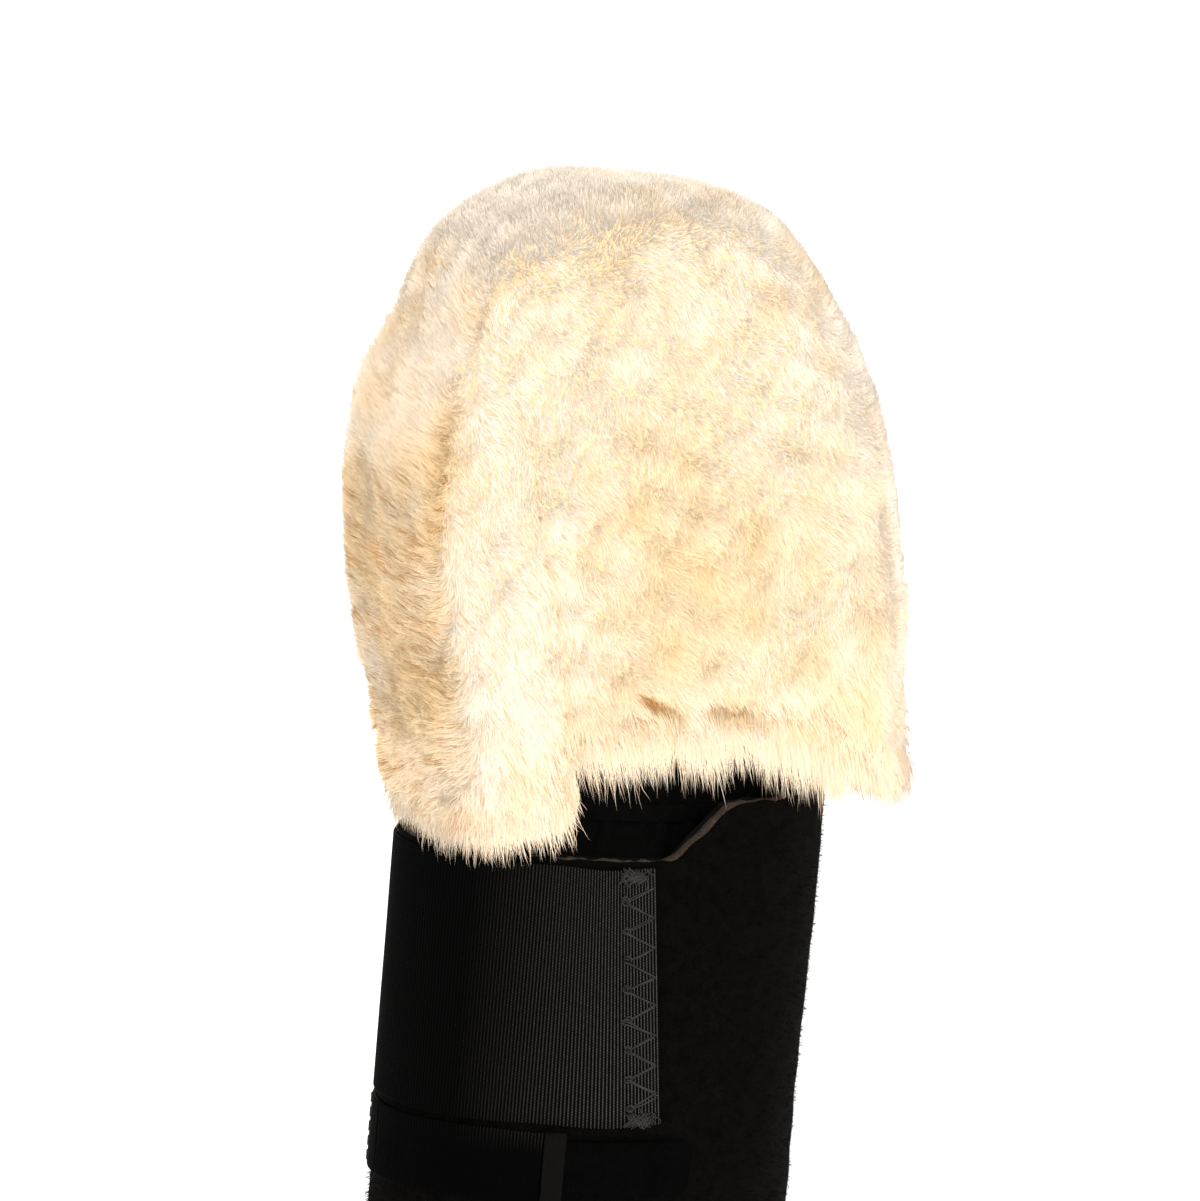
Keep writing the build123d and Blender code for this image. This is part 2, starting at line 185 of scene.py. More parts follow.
def tube(path, radius, sides=6):
    """Points and triangles of a closed round tube along a path."""
    path = np.asarray(path, float)
    ahead = unit(np.gradient(path, axis=0))
    side = unit(np.cross(ahead, [0.13, 0.21, 0.97]))  # a direction that no path runs along
    up = np.cross(ahead, side)
    turns = np.arange(sides) * 2 * math.pi / sides
    ring = np.cos(turns)[None, :, None] * side[:, None] + np.sin(turns)[None, :, None] * up[:, None]
    points = (path[:, None] + ring * radius).reshape(-1, 3)
    n = len(path)
    i, j = np.meshgrid(np.arange(n - 1), np.arange(sides), indexing="ij")
    m = (j + 1) % sides
    a, b, c, d = i * sides + j, (i + 1) * sides + j, (i + 1) * sides + m, i * sides + m
    triangles = [np.stack(corners, -1).reshape(-1, 3) for corners in ([a, c, b], [a, d, c])]
    points = np.vstack([points, path[0], path[-1]])
    ring = np.arange(sides)
    after = (ring + 1) % sides
    start = np.stack([ring, after, np.full(sides, n * sides)], -1)
    end = np.stack([(n - 1) * sides + after, (n - 1) * sides + ring, np.full(sides, n * sides + 1)], -1)
    return points, np.vstack([*triangles, start, end])


def tubes_piece(name, paths, radius, material, body, sides=6):
    points, triangles, base = [], [], 0
    for path in paths:
        p, t = tube(path, radius, sides)
        points.append(p)
        triangles.append(t + base)
        base += len(p)
    return mesh_piece(name, np.vstack(points), np.vstack(triangles), material, body)


# ---------------------------------------------------------------- materials
def new_material(name):
    material = bpy.data.materials.new(name)
    material.use_nodes = True
    tree = material.node_tree
    shader = next(n for n in tree.nodes if n.type == "BSDF_PRINCIPLED")
    output = next(n for n in tree.nodes if n.type == "OUTPUT_MATERIAL")
    return material, tree, shader, output


def node(tree, kind, **inputs):
    made = tree.nodes.new(kind)
    for key, value in inputs.items():
        made.inputs[key].default_value = value
    return made


def blend_colours(tree, factor, first, second):
    """Mix two colours, or two sockets, by a factor socket."""
    mix = tree.nodes.new("ShaderNodeMix")
    mix.data_type = "RGBA"
    for socket, value in ((mix.inputs[6], first), (mix.inputs[7], second)):
        if isinstance(value, bpy.types.NodeSocket):
            tree.links.new(value, socket)
        else:
            socket.default_value = (*value, 1)
    tree.links.new(factor, mix.inputs[0])
    return mix.outputs[2]


def calculate(tree, operation, *values):
    made = tree.nodes.new("ShaderNodeMath")
    made.operation = operation
    for socket, value in zip(made.inputs, values):
        if isinstance(value, bpy.types.NodeSocket):
            tree.links.new(value, socket)
        else:
            socket.default_value = value
    return made.outputs[0]


def times(tree, *values):
    return calculate(tree, "MULTIPLY", *values)


def plus(tree, *values):
    return calculate(tree, "ADD", *values)


def stretch(tree, value, low, high):
    """A value's place between low and high, as 0 to 1."""
    made = tree.nodes.new("ShaderNodeMapRange")
    made.inputs["From Min"].default_value = low
    made.inputs["From Max"].default_value = high
    tree.links.new(value, made.inputs["Value"])
    return made.outputs["Result"]


def noise_value(tree, scale, detail=3, vector=None, roughness=0.55):
    made = node(tree, "ShaderNodeTexNoise", Scale=scale, Detail=detail, Roughness=roughness)
    if vector is None:
        vector = tree.nodes.new("ShaderNodeTexCoord").outputs["Object"]
    tree.links.new(vector, made.inputs["Vector"])
    return made.outputs["Fac"]


def attribute(tree, name):
    made = tree.nodes.new("ShaderNodeAttribute")
    made.attribute_name = name
    return made


def vector_maths(tree, operation, *values):
    made = tree.nodes.new("ShaderNodeVectorMath")
    made.operation = operation
    for socket, value in zip(made.inputs, values):
        tree.links.new(value, socket)
    return made


def set_shine(shader, roughness, specular):
    shader.inputs["Roughness"].default_value = roughness
    shader.inputs["Specular IOR Level"].default_value = specular


def raise_surface(tree, shader, height, distance, strength=1.0):
    bump = node(tree, "ShaderNodeBump", Strength=strength, Distance=distance)
    tree.links.new(height, bump.inputs["Height"])
    tree.links.new(bump.outputs["Normal"], shader.inputs["Normal"])


def wool_material():
    material, tree, shader, output = new_material("wool_pile")
    along, shade, warm = [attribute(tree, key) for key in ("along", "shade", "warm")]
    tip = blend_colours(tree, warm.outputs["Fac"], (0.97, 0.87, 0.745), (0.96, 0.73, 0.44))
    root = blend_colours(tree, warm.outputs["Fac"], (0.93, 0.77, 0.54), (0.78, 0.50, 0.22))
    length = stretch(tree, along.outputs["Fac"], 0.1, 0.62)
    colour = blend_colours(tree, length, root, tip)
    # Strands with a high shade value go darker: partly their own tone at random, partly painted shade on
    # the left side and along its edge to the front.
    dark = times(tree, stretch(tree, shade.outputs["Fac"], 0.0, 1.0), 0.12)
    colour = blend_colours(tree, dark, colour, (0.45, 0.31, 0.16))
    # Painted shade for the highest shade values, mostly in the partings, where it also stands for the
    # darker roots.
    parting_shade = times(tree, stretch(tree, shade.outputs["Fac"], 0.95, 1.6), 0.95)
    colour = blend_colours(tree, parting_shade, colour, (0.50, 0.25, 0.07))
    tree.links.new(colour, shader.inputs["Base Color"])
    # A painted glow: the wool emits its own colour, standing in for light that scatters many times between
    # the pale fibres.
    tree.links.new(colour, shader.inputs["Emission Color"])
    shader.inputs["Emission Strength"].default_value = 0.33
    set_shine(shader, 0.82, 0.05)
    # The strands shade as the fleece's form does, with a little of their own.
    form = attribute(tree, "form")
    turned = tree.nodes.new("ShaderNodeVectorTransform")
    turned.vector_type, turned.convert_from, turned.convert_to = "NORMAL", "OBJECT", "WORLD"
    tree.links.new(form.outputs["Vector"], turned.inputs["Vector"])
    own = tree.nodes.new("ShaderNodeNewGeometry")
    scaled = vector_maths(tree, "SCALE", own.outputs["Normal"])
    scaled.inputs["Scale"].default_value = 0.12
    added = vector_maths(tree, "ADD", scaled.outputs[0], turned.outputs[0])
    normal = vector_maths(tree, "NORMALIZE", added.outputs[0])
    tree.links.new(normal.outputs[0], shader.inputs["Normal"])
    through = tree.nodes.new("ShaderNodeBsdfTranslucent")
    tree.links.new(colour, through.inputs["Color"])
    mix = node(tree, "ShaderNodeMixShader", Fac=0.22)
    tree.links.new(shader.outputs[0], mix.inputs[1])
    tree.links.new(through.outputs[0], mix.inputs[2])
    tree.links.new(mix.outputs[0], output.inputs["Surface"])
    return material


def plain_cloth(name, dark, light, grain, bump, roughness=0.9, specular=0.2):
    """Matte cloth with a mottled colour and a fine grain."""
    material, tree, shader, _ = new_material(name)
    broad = noise_value(tree, grain / 12, 4)
    fine = noise_value(tree, grain, 2)
    both = times(tree, stretch(tree, broad, 0.3, 0.75), stretch(tree, fine, 0.25, 0.8))
    tree.links.new(blend_colours(tree, both, dark, light), shader.inputs["Base Color"])
    raise_surface(tree, shader, fine, bump)
    set_shine(shader, roughness, specular)
    return material


def elastic_material():
    """Woven elastic: the ribs are real, and each carries small weft stitches."""
    material, tree, shader, _ = new_material("woven_elastic")
    weave = attribute(tree, "weave")
    split = tree.nodes.new("ShaderNodeSeparateXYZ")
    tree.links.new(weave.outputs["Vector"], split.inputs[0])
    across, up, crest = split.outputs
    place = tree.nodes.new("ShaderNodeSeparateXYZ")
    tree.links.new(tree.nodes.new("ShaderNodeTexCoord").outputs["Object"], place.inputs[0])
    # Painted highlight: paler towards the front's sewn end, where the key light falls on the band, and not
    # on the strap below the band.
    painted_highlight = plus(tree, times(tree, stretch(tree, place.outputs[0], -62 * MM, -10 * MM), 0.97), 0.03)
    painted_highlight = times(tree, painted_highlight, stretch(tree, place.outputs[2], 90 * MM, 104 * MM))
    rib = calculate(tree, "FLOOR", calculate(tree, "DIVIDE", across, RIB_PITCH))
    shift = times(tree, rib, math.pi)
    turn = plus(tree, times(tree, up, 2 * math.pi / WEFT_PITCH), shift)
    weft = stretch(tree, calculate(tree, "SINE", turn), -1.0, 1.0)
    cross = times(tree, crest, plus(tree, times(tree, weft, 0.6), 0.4))
    mottle = noise_value(tree, 900, 2)
    # Painted highlight on the rib crests and painted shade in the valleys between them; the weft dots are
    # the weave's own pattern.
    ridge = calculate(tree, "POWER", crest, 4.5)
    dots = plus(tree, times(tree, weft, 0.55), 0.45)
    lit = times(tree, times(tree, ridge, dots), stretch(tree, mottle, -0.2, 0.7))
    lit = times(tree, lit, painted_highlight)
    colour = blend_colours(tree, lit, (0.0002, 0.0002, 0.0002), (0.135, 0.125, 0.108))
    tree.links.new(colour, shader.inputs["Base Color"])
    raise_surface(tree, shader, cross, 0.25 * MM, 0.8)
    set_shine(shader, 0.42, 0.015)
    return material


def foam_material():
    material, tree, shader, _ = new_material("cut_foam")
    cells = node(tree, "ShaderNodeTexVoronoi", Scale=1500.0)
    tree.links.new(tree.nodes.new("ShaderNodeTexCoord").outputs["Object"], cells.inputs["Vector"])
    pores = stretch(tree, cells.outputs["Distance"], 0.1, 0.7)
    colour = blend_colours(tree, pores, (0.010, 0.007, 0.005), (0.055, 0.038, 0.026))
    tree.links.new(colour, shader.inputs["Base Color"])
    raise_surface(tree, shader, pores, 0.3 * MM)
    set_shine(shader, 0.85, 0.25)
    return material


wool = wool_material()
elastic = elastic_material()
foam = foam_material()
loop = plain_cloth(
    "brushed_loop", (0.0006, 0.0005, 0.0004), (0.0048, 0.0038, 0.0032), 2600, 0.45 * MM, specular=0.03)
jersey = plain_cloth(
    "knit_jersey", (0.0008, 0.0008, 0.0008), (0.004, 0.004, 0.0042), 2200, 0.3 * MM, specular=0.08)
binding = plain_cloth(
    "binding_tape", (0.0008, 0.0006, 0.0005), (0.0036, 0.0028, 0.0020), 1900, 0.25 * MM, 0.75, 0.06)
hook = plain_cloth(
    "hook_tape", (0.0004, 0.0004, 0.0004), (0.002, 0.002, 0.002), 1500, 0.35 * MM, 0.8, 0.015)
thread = plain_cloth("black_thread", (0.009, 0.008, 0.007), (0.050, 0.045, 0.040), 2400, 0.1 * MM, 0.6)
seam_thread = plain_cloth("cream_thread", (0.55, 0.47, 0.34), (0.80, 0.73, 0.60), 2400, 0.1 * MM)
suede = plain_cloth("suede_hide", (0.50, 0.36, 0.22), (0.78, 0.63, 0.44), 900, 0.3 * MM)
under = plain_cloth("under_wool", (0.84, 0.66, 0.40), (0.92, 0.77, 0.52), 700, 0.5 * MM)

# ---------------------------------------------------------------- camera, light and floor
scene = bpy.context.scene
scene.view_settings.view_transform = "Standard"
look = np.array([-math.sin(CAMERA_AZIMUTH) * math.cos(CAMERA_ELEVATION),
                 math.cos(CAMERA_AZIMUTH) * math.cos(CAMERA_ELEVATION), -math.sin(CAMERA_ELEVATION)])
level = np.array([math.cos(CAMERA_AZIMUTH), math.sin(CAMERA_AZIMUTH), 0.0])
upright = np.cross(level, look)
right = level * math.cos(CAMERA_ROLL) + upright * math.sin(CAMERA_ROLL)
above = upright * math.cos(CAMERA_ROLL) - level * math.sin(CAMERA_ROLL)
axis_point = np.array([0, 0, AIM_HEIGHT])
eye = axis_point - look * CAMERA_DISTANCE
aim = axis_point + right * AIM_RIGHT + above * AIM_UP
back = -(aim - eye) / np.linalg.norm(aim - eye)
turned_right = right - back * float(right @ back)
turned_right /= np.linalg.norm(turned_right)
turned_up = np.cross(back, turned_right)
camera_data = bpy.data.cameras.new("camera")
camera_data.lens = CAMERA_LENS
camera_data.sensor_width = 36
camera = bpy.data.objects.new("camera", camera_data)
scene.collection.objects.link(camera)
camera.matrix_world = Matrix([
    [turned_right[i], turned_up[i], back[i], eye[i]] for i in range(3)] + [[0, 0, 0, 1]])
scene.camera = camera

world = bpy.data.worlds.new("studio")
world.use_nodes = True
background = world.node_tree.nodes["Background"]
background.inputs["Color"].default_value = (1.0, 0.99, 0.98, 1)
background.inputs["Strength"].default_value = 1.02
scene.world = world


def soft_light(name, place, target, size, power, colour):
    data = bpy.data.lights.new(name, "AREA")
    data.size, data.energy, data.color = size, power, colour
    lamp = bpy.data.objects.new(name, data)
    lamp.location = place
    lamp.rotation_euler = (Vector(target) - Vector(place)).to_track_quat("-Z", "Y").to_euler()
    scene.collection.objects.link(lamp)


soft_light("key", (-0.15, -1.95, 0.75), (0, 0, 0.26), 0.9, 11.5, (1, 0.975, 0.94))
soft_light("fill", (-1.7, -0.7, 0.9), (0, 0, 0.30), 1.2, 4, (1, 0.97, 0.93))
soft_light("right", (1.9, -0.9, 0.6), (0, 0, 0.30), 1.0, 10, (1, 0.98, 0.96))
soft_light("top", (-0.3, -0.7, 2.1), (0, 0, 0.30), 1.0, 12, (1, 0.98, 0.95))
soft_light("rim", (-1.2, 1.2, 1.3), (0, 0, 0.26), 0.8, 5, (1, 0.98, 0.96))

floor_material, _, floor_shader, _ = new_material("pale_floor")
floor_shader.inputs["Base Color"].default_value = (0.96, 0.96, 0.955, 1)
floor_shader.inputs["Roughness"].default_value = 0.9
floor_shader.inputs["Emission Color"].default_value = (1, 1, 1, 1)
floor_shader.inputs["Emission Strength"].default_value = 0.3
floor_half = 25.0
floor_corners = [(x * floor_half, y * floor_half, 0) for x, y in ((-1, -1), (1, -1), (1, 1), (-1, 1))]
floor = mesh_piece("floor", floor_corners, [(0, 1, 2, 3)], floor_material, None)

# ---------------------------------------------------------------- sizes read from the frame
face_low, face_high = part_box("cuff_front_face")
lining_low, lining_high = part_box("cuff_lining")
foam_low, foam_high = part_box("cuff_front_foam")
_, hem_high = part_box("hem_binding")
band_low, band_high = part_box("upper_elastic_band")
lining_t = 1.0 * MM
cuff_a, cuff_b = face_high.x, -face_low.y
foam_a, foam_b = foam_high.x, -foam_low.y
liner_a, liner_b = lining_high.x, lining_high.y
band_t = -band_low.x - cuff_a
foam_t, face_t = foam_a - liner_a, cuff_a - foam_a


def points_of(name):
    return read_vectors(nodes[name].data.vertices, "co")


rim_points = points_of("cuff_front_face")
rim_high = face_high.z
rim_low = rim_points[rim_points[:, 0] < -0.9 * cuff_a][:, 2].max()
ramp_start = rim_points[np.abs(rim_points[:, 2] - rim_low) < 0.1 * MM][:, 0].max()
ramp_end = rim_points[np.abs(rim_points[:, 2] - rim_high) < 0.1 * MM][:, 0].min()


def rim_height(x):
    """The rim's height, with the corners of its ramp a little rounded."""
    total = 0
    for shift in (-2, -1, 0, 1, 2):
        t = np.clip((x + shift * MM - ramp_start) / (ramp_end - ramp_start), 0, 1)
        total = total + rim_low + (rim_high - rim_low) * t
    return total / 5


def on_oval(half_x, half_y, angle, offset, z):
    """Points round the cuff's axis, at a distance out of an oval."""
    x, y = (half_x + offset) * np.cos(angle), (half_y + offset) * np.sin(angle)
    return np.stack([x, y, z + 0 * angle], -1)


def wall(name, half_x, half_y, thickness, angles, low, high, rows, material, body,
         closed=True, bulge=None, inner_bulge=None, rounding=None, ribs=0.0, shift_x=None):
    """A wall round the cuff's oval: outer face at half_x by half_y, with rounded edges."""
    r = rounding or thickness / 2
    s = np.linspace(0, 1, rows)
    angle = np.repeat(np.asarray(angles)[:, None], 2 * rows + 6, 1)
    low = np.broadcast_to(low, (len(angles),))[:, None]
    high = np.broadcast_to(high, (len(angles),))[:, None]
    outer_z = low + r + (high - low - 2 * r) * s[None]
    turns = np.radians([45, 90, 135])
    top_z = high - r + r * np.sin(turns)[None] + 0 * low
    bottom_z = low + r - r * np.sin(turns)[None]
    half_t = thickness / 2
    side = np.array([1, 0, -1])
    top_off = -half_t + (half_t - r) * side + r * np.cos(turns)
    z = np.concatenate([outer_z, top_z, outer_z[:, ::-1], bottom_z], 1)
    off = np.concatenate([np.zeros(rows), top_off, np.full(rows, -thickness), top_off[::-1]])
    off = np.repeat(off[None], len(angles), 0)
    outward = np.clip(1 + off / thickness, 0, 1)
    base = on_oval(half_x, half_y, angle, off, z)
    arc = arc_along(on_oval(half_x, half_y, np.asarray(angles), 0, 0.0))
    arc = np.repeat(arc[:, None], angle.shape[1], 1)
    crest = 0.5 - 0.5 * np.cos(2 * math.pi * arc / RIB_PITCH)
    if bulge is not None:
        off = off + bulge(base.reshape(-1, 3)).reshape(off.shape) * outward
    if inner_bulge is not None:
        off = off + inner_bulge(base.reshape(-1, 3)).reshape(off.shape) * (1 - outward)
    if ribs:
        off = off - ribs * (1 - crest) * outward
    weave = np.stack([arc, z, crest], -1)
    if shift_x is not None:
        x = (half_x + off) * np.cos(angle)
        x = x + shift_x(x, np.sin(angle), z)
        angle = np.sign(np.sin(angle)) * np.arccos(np.clip(x / (half_x + off), -1, 1))
    return loft(name, on_oval(half_x, half_y, angle, off, z), closed, material, body, weave)


# ---------------------------------------------------------------- forearm cuff
ring = np.linspace(0, 2 * math.pi, 361)[:-1]
ring_rim = rim_height(cuff_a * np.cos(ring))


def angle_at(x, half_x, front):
    """The oval's angle at an X, at the front or the back."""
    a = math.acos(x / half_x)
    return -a if front else a - 2 * math.pi


band_points = points_of("upper_elastic_band")
band_back_x = band_points[band_points[:, 1] > 0][:, 0].max()
in_front = band_points[band_points[:, 1] < 0]
top_x = in_front[in_front[:, 2] > band_high.z - 1 * MM][:, 0].max()
bottom_x = in_front[in_front[:, 2] < band_low.z + 1 * MM][:, 0].max()


def front_end_x(z):
    """X of the band's sewn end at the front, which leans a little."""
    return bottom_x + (top_x - bottom_x) * (z - band_low.z) / (band_high.z - band_low.z)


def under_band(p):
    """1 where the band presses on the face, 0 where the face is free."""
    x_end = np.where(p[:, 1] < 0, front_end_x(p[:, 2]), band_back_x)
    side = smooth_step(4 * MM, -1 * MM, p[:, 0] - x_end)
    height = smooth_step(band_low.z - 4 * MM, band_low.z + 1 * MM, p[:, 2]) * smooth_step(
        band_high.z + 3 * MM, band_high.z - 1 * MM, p[:, 2])
    return side * height


def face_bulge(p):
    """The brushed face swells where neither the band nor the strap presses on it."""
    free = 1 - under_band(p)
    strap_side = smooth_step(30 * MM, -10 * MM, p[:, 0])
    strap_side = strap_side * smooth_step(band_low.z, band_low.z - 6 * MM, p[:, 2])
    soft = 0.35 * MM * waves(p, 55 * MM, 1) + 0.12 * MM * waves(p, 14 * MM, 2)
    return np.minimum(0.55 * MM + soft, 0.9 * MM) * free * (1 - 0.9 * strap_side) - 0.05 * MM


def inner_wave(p):
    return 0.3 * MM * waves(p, 40 * MM, 3) - 0.2 * MM


face_wobble = 0.35 * MM * waves(on_oval(cuff_a, cuff_b, ring, 0, 0.2), 9 * MM, 4)
cuff_skin = wall("cuff_face", cuff_a, cuff_b, face_t, ring, face_low.z, ring_rim + face_wobble, 84,
                 loop, "cuff", bulge=face_bulge, rounding=0.4 * MM)
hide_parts("cuff_front_face", "cuff_back_face")
foam_wobble = 0.3 * MM * waves(on_oval(foam_a, foam_b, ring, 0, 0.2), 5 * MM, 5) - 0.45 * MM
cuff_core = wall("cuff_foam", foam_a - 0.1 * MM, foam_b - 0.1 * MM, foam_t - 0.2 * MM, ring, foam_low.z,
                 ring_rim + foam_wobble, 40, foam, "cuff", rounding=0.5 * MM)
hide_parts("cuff_front_foam", "cuff_back_foam")
liner_wobble = 0.3 * MM * waves(on_oval(liner_a, liner_b, ring, 0, 0.2), 8 * MM, 6)
cuff_liner = wall("cuff_lining_cloth", liner_a, liner_b, lining_t, ring, lining_low.z,
                  ring_rim + liner_wobble, 60, jersey, "cuff", inner_bulge=inner_wave, rounding=0.4 * MM)
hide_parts("cuff_lining")

# The binding is one folded tape: up the outside, under the raw edge and up the inside.
tape = 1.2 * MM
wall_t = cuff_a - (liner_a - lining_t)


def hem_loop(angle):
    """The tape's section, as distances out of the cuff and heights, puckered by its stitches."""
    pucker = 0.22 * MM * np.sin(angle * 118)
    pucker = pucker + 0.25 * MM * waves(on_oval(cuff_a, cuff_b, angle, 0, 0.0), 11 * MM, 7)
    top = hem_high.z + 0.5 * pucker
    outer, inner = tape, -(wall_t + tape)
    under, over = 0, inner + tape
    profile = np.array([(start + out * MM, up * MM) for start, out, up in (
        (under, 0.05, 1.5), (under, 0.05, 5), (under, 0.05, 11.3), (under, 0.3, 12),
        (outer, -0.35, 12), (outer, 0, 11.2), (outer, 0.15, 8.6), (outer, -0.15, HEM_STITCH_HEIGHT),
        (outer, 0.1, 6.4), (outer, 0.1, 3.5), (outer, -0.1, 1.2), (outer, -0.9, 0.2),
        (outer, -1.6, 0), (inner, 1.6, 0), (inner, 0.9, 0.2), (inner, 0.1, 1.2),
        (inner, 0, 6), (inner, 0, 11.2), (inner, 0.35, 12), (inner, 0.9, 12),
        (over, -0.05, 11.3), (over, -0.05, 1.5))])
    off, z = [column[None] + 0 * angle[:, None] for column in profile.T]
    upper = np.clip(z / hem_high.z, 0, 1)
    off = off + np.sign(off + wall_t / 2) * np.abs(pucker)[:, None] * 0.5 * upper * (np.abs(off) > 0.2 * MM)
    z = z + (top - hem_high.z)[:, None] * (z > 9 * MM)
    return on_oval(cuff_a, cuff_b, np.repeat(angle[:, None], len(profile), 1), off, z)


fine_ring = np.linspace(0, 2 * math.pi, 721)[:-1]
hem = loft("hem_tape", hem_loop(fine_ring), True, binding, "cuff")
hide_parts("hem_binding")


def run_of_stitches(half_x, half_y, offset, z, length, gap):
    """Short stitches round the oval at one height."""
    dense = np.linspace(0, 2 * math.pi, 4000)
    arc = arc_along(on_oval(half_x, half_y, dense, offset, z))
    paths = []
    start = 0.0
    while start + length < arc[-1]:
        s = np.linspace(start, start + length, 5)
        a = np.interp(s, arc, dense)
        sink = 0.45 * MM * np.linspace(-1, 1, 5) ** 2
        paths.append(on_oval(half_x, half_y, a, offset - sink, z))
        start += length + gap
    return paths


hem_paths = run_of_stitches(cuff_a, cuff_b, tape + 0.2 * MM, HEM_STITCH_HEIGHT * MM, 2.6 * MM, 1.0 * MM)
hem_stitches = tubes_piece("hem_stitching", hem_paths, THREAD_RADIUS, thread, "cuff", 5)

# ---------------------------------------------------------------- upper elastic band
band_a, band_b = cuff_a + band_t, cuff_b + band_t
middle_x = (top_x + bottom_x) / 2
front_end = angle_at(middle_x, band_a, True)
back_end = angle_at(band_back_x, band_a, False)
dense = np.linspace(front_end, back_end, 3000)
arc = arc_along(on_oval(band_a, band_b, dense, 0, 0.0))
band_angles = np.interp(np.linspace(0, arc[-1], int(arc[-1] / RIB_PITCH * 4)), arc, dense)


def band_wave(p):
    ends = smooth_step(0, 16 * MM, np.where(p[:, 1] < 0, middle_x, band_back_x) - p[:, 0])
    return 0.12 * MM * waves(p, 60 * MM, 11) * ends


def lean_of_end(x, y, z):
    """Turns the ribs by the sewn end as its edge leans."""
    return (front_end_x(z) - middle_x) * np.where(y < 0, smooth_step(middle_x - 45 * MM, middle_x, x), 0)


edge = 0.35 * MM * waves(on_oval(band_a, band_b, band_angles, 0, 0.1), 30 * MM, 12)
band = wall("elastic_band", band_a, band_b, band_t, band_angles, band_low.z + edge, band_high.z + edge, 58,
            elastic, "cuff", closed=False, bulge=band_wave, inner_bulge=band_wave, ribs=RIB_DEPTH,
            rounding=0.5 * MM, shift_x=lean_of_end)
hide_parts("upper_elastic_band")


def on_band(x, z, front, lift=0.0):
    """A point on the band's outer face."""
    half_x, half_y = band_a + lift, band_b + lift
    y = half_y * math.sqrt(max(1 - (x / half_x) ** 2, 0))
    return np.array([x, -y if front else y, z])


def zigzag_paths(name, front, seed):
    """Two passes of zigzag, each leg a little above the cloth and sunk at the needle holes."""
    low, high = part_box(name)
    rng = np.random.default_rng(seed)
    paths = []
    for pass_number in range(2):
        drift = pass_number * 0.55 * MM
        count = int(round((high.z - low.z) / (ZIGZAG_PITCH / 2)))
        holes = []
        for i in range(count + 1):
            z = low.z + drift + (high.z - low.z - drift) * i / count + rng.normal() * 0.3 * MM
            end_x = front_end_x(z) if front else band_back_x
            inset = ZIGZAG_WIDTH - drift if i % 2 == 0 else drift * 0.5
            x = end_x - ZIGZAG_MARGIN - inset + rng.normal() * 0.25 * MM
            holes.append((x, z))
        line = []
        for (x0, z0), (x1, z1) in zip(holes, holes[1:]):
            slack = rng.normal() * 0.25 * MM
            for t in np.linspace(0, 1, 9)[:-1]:
                rise = 0.28 * MM * math.sin(math.pi * t) ** 0.6 - NEEDLE_HOLE
                z = z0 + (z1 - z0) * t + slack * math.sin(math.pi * t)
                line.append(on_band(x0 + (x1 - x0) * t, z, front, rise))
        line.append(on_band(*holes[-1], front, -NEEDLE_HOLE))
        paths.append(np.array(line))
        for x, z in holes[::2]:  # a knot at each hole away from the end
            turn = np.linspace(0, 2 * math.pi * 1.6, 15) + rng.uniform(0, 6)
            size = rng.uniform(0.6, 1.3) * MM * (1 + 0.25 * np.sin(2.3 * turn))
            xs, zs = x + 0.3 * MM + size * np.cos(turn), z + 0.5 * MM + 1.15 * size * np.sin(turn)
            paths.append(np.array([on_band(a, b, front, 0.35 * MM + 0.3 * MM * math.sin(t * 1.7))
                                   for a, b, t in zip(xs, zs, turn)]))
    return paths


def tack_paths(name, front, seed):
    """Dense thread bars at the corners of a sewn end, with loose thread tails."""
    low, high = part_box(name)
    rng = np.random.default_rng(seed)
    paths = []
    for z_middle in (low.z + 1.2 * MM, high.z - 1.2 * MM):
        tack_high = (front_end_x(z_middle) if front else band_back_x) - ZIGZAG_MARGIN
        tack_low = tack_high - TACK_WIDTH
        line, turns = [], 26
        for i in range(turns + 1):
            x = tack_low + 0.6 * MM + (TACK_WIDTH - 1.2 * MM) * ((i * 7) % turns) / turns
            z = z_middle + (1 if i % 2 else -1) * (1.6 + rng.uniform(-0.5, 1.6)) * MM
            line.append(on_band(x, z, front, rng.uniform(0.0, 0.45) * MM))
        smooth = []
        for p, q in zip(line, line[1:]):
            for t in np.linspace(0, 1, 5)[:-1]:
                lift = np.array([0, (-1 if front else 1) * 0.25 * MM * math.sin(math.pi * t), 0])
                smooth.append(p + (q - p) * t + lift)
        smooth.append(line[-1])
        paths.append(np.array(smooth))
        for _ in range(3):
            x0, z0 = rng.uniform(tack_low, tack_high), z_middle
            turn = rng.uniform(0, 2 * math.pi)
            t = np.linspace(0, 1, 9)
            length = rng.uniform(3, 6) * MM
            xs = x0 + length * t * math.cos(turn) + 1.2 * MM * np.sin(4 * t)
            zs = z0 + length * t * math.sin(turn) + 1.0 * MM * np.sin(5 * t + 1)
            paths.append(np.array([on_band(x, z, front, 0.25 * MM + 0.5 * MM * s)
                                   for x, z, s in zip(xs, zs, t)]))
    return paths


for side_name, front, seed in (("front", True, 21), ("back", False, 22)):
    paths = zigzag_paths(f"band_{side_name}_zigzag", front, seed)
    piece = tubes_piece(f"{side_name}_zigzag_thread", paths, THREAD_RADIUS, thread, "cuff")
    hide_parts(f"band_{side_name}_zigzag")
    paths = tack_paths(f"band_{side_name}_bar_tacks", front, seed + 5)
    piece = tubes_piece(f"{side_name}_bar_tack_thread", paths, THREAD_RADIUS * 0.9, thread, "cuff", 5)
    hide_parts(f"band_{side_name}_bar_tacks")

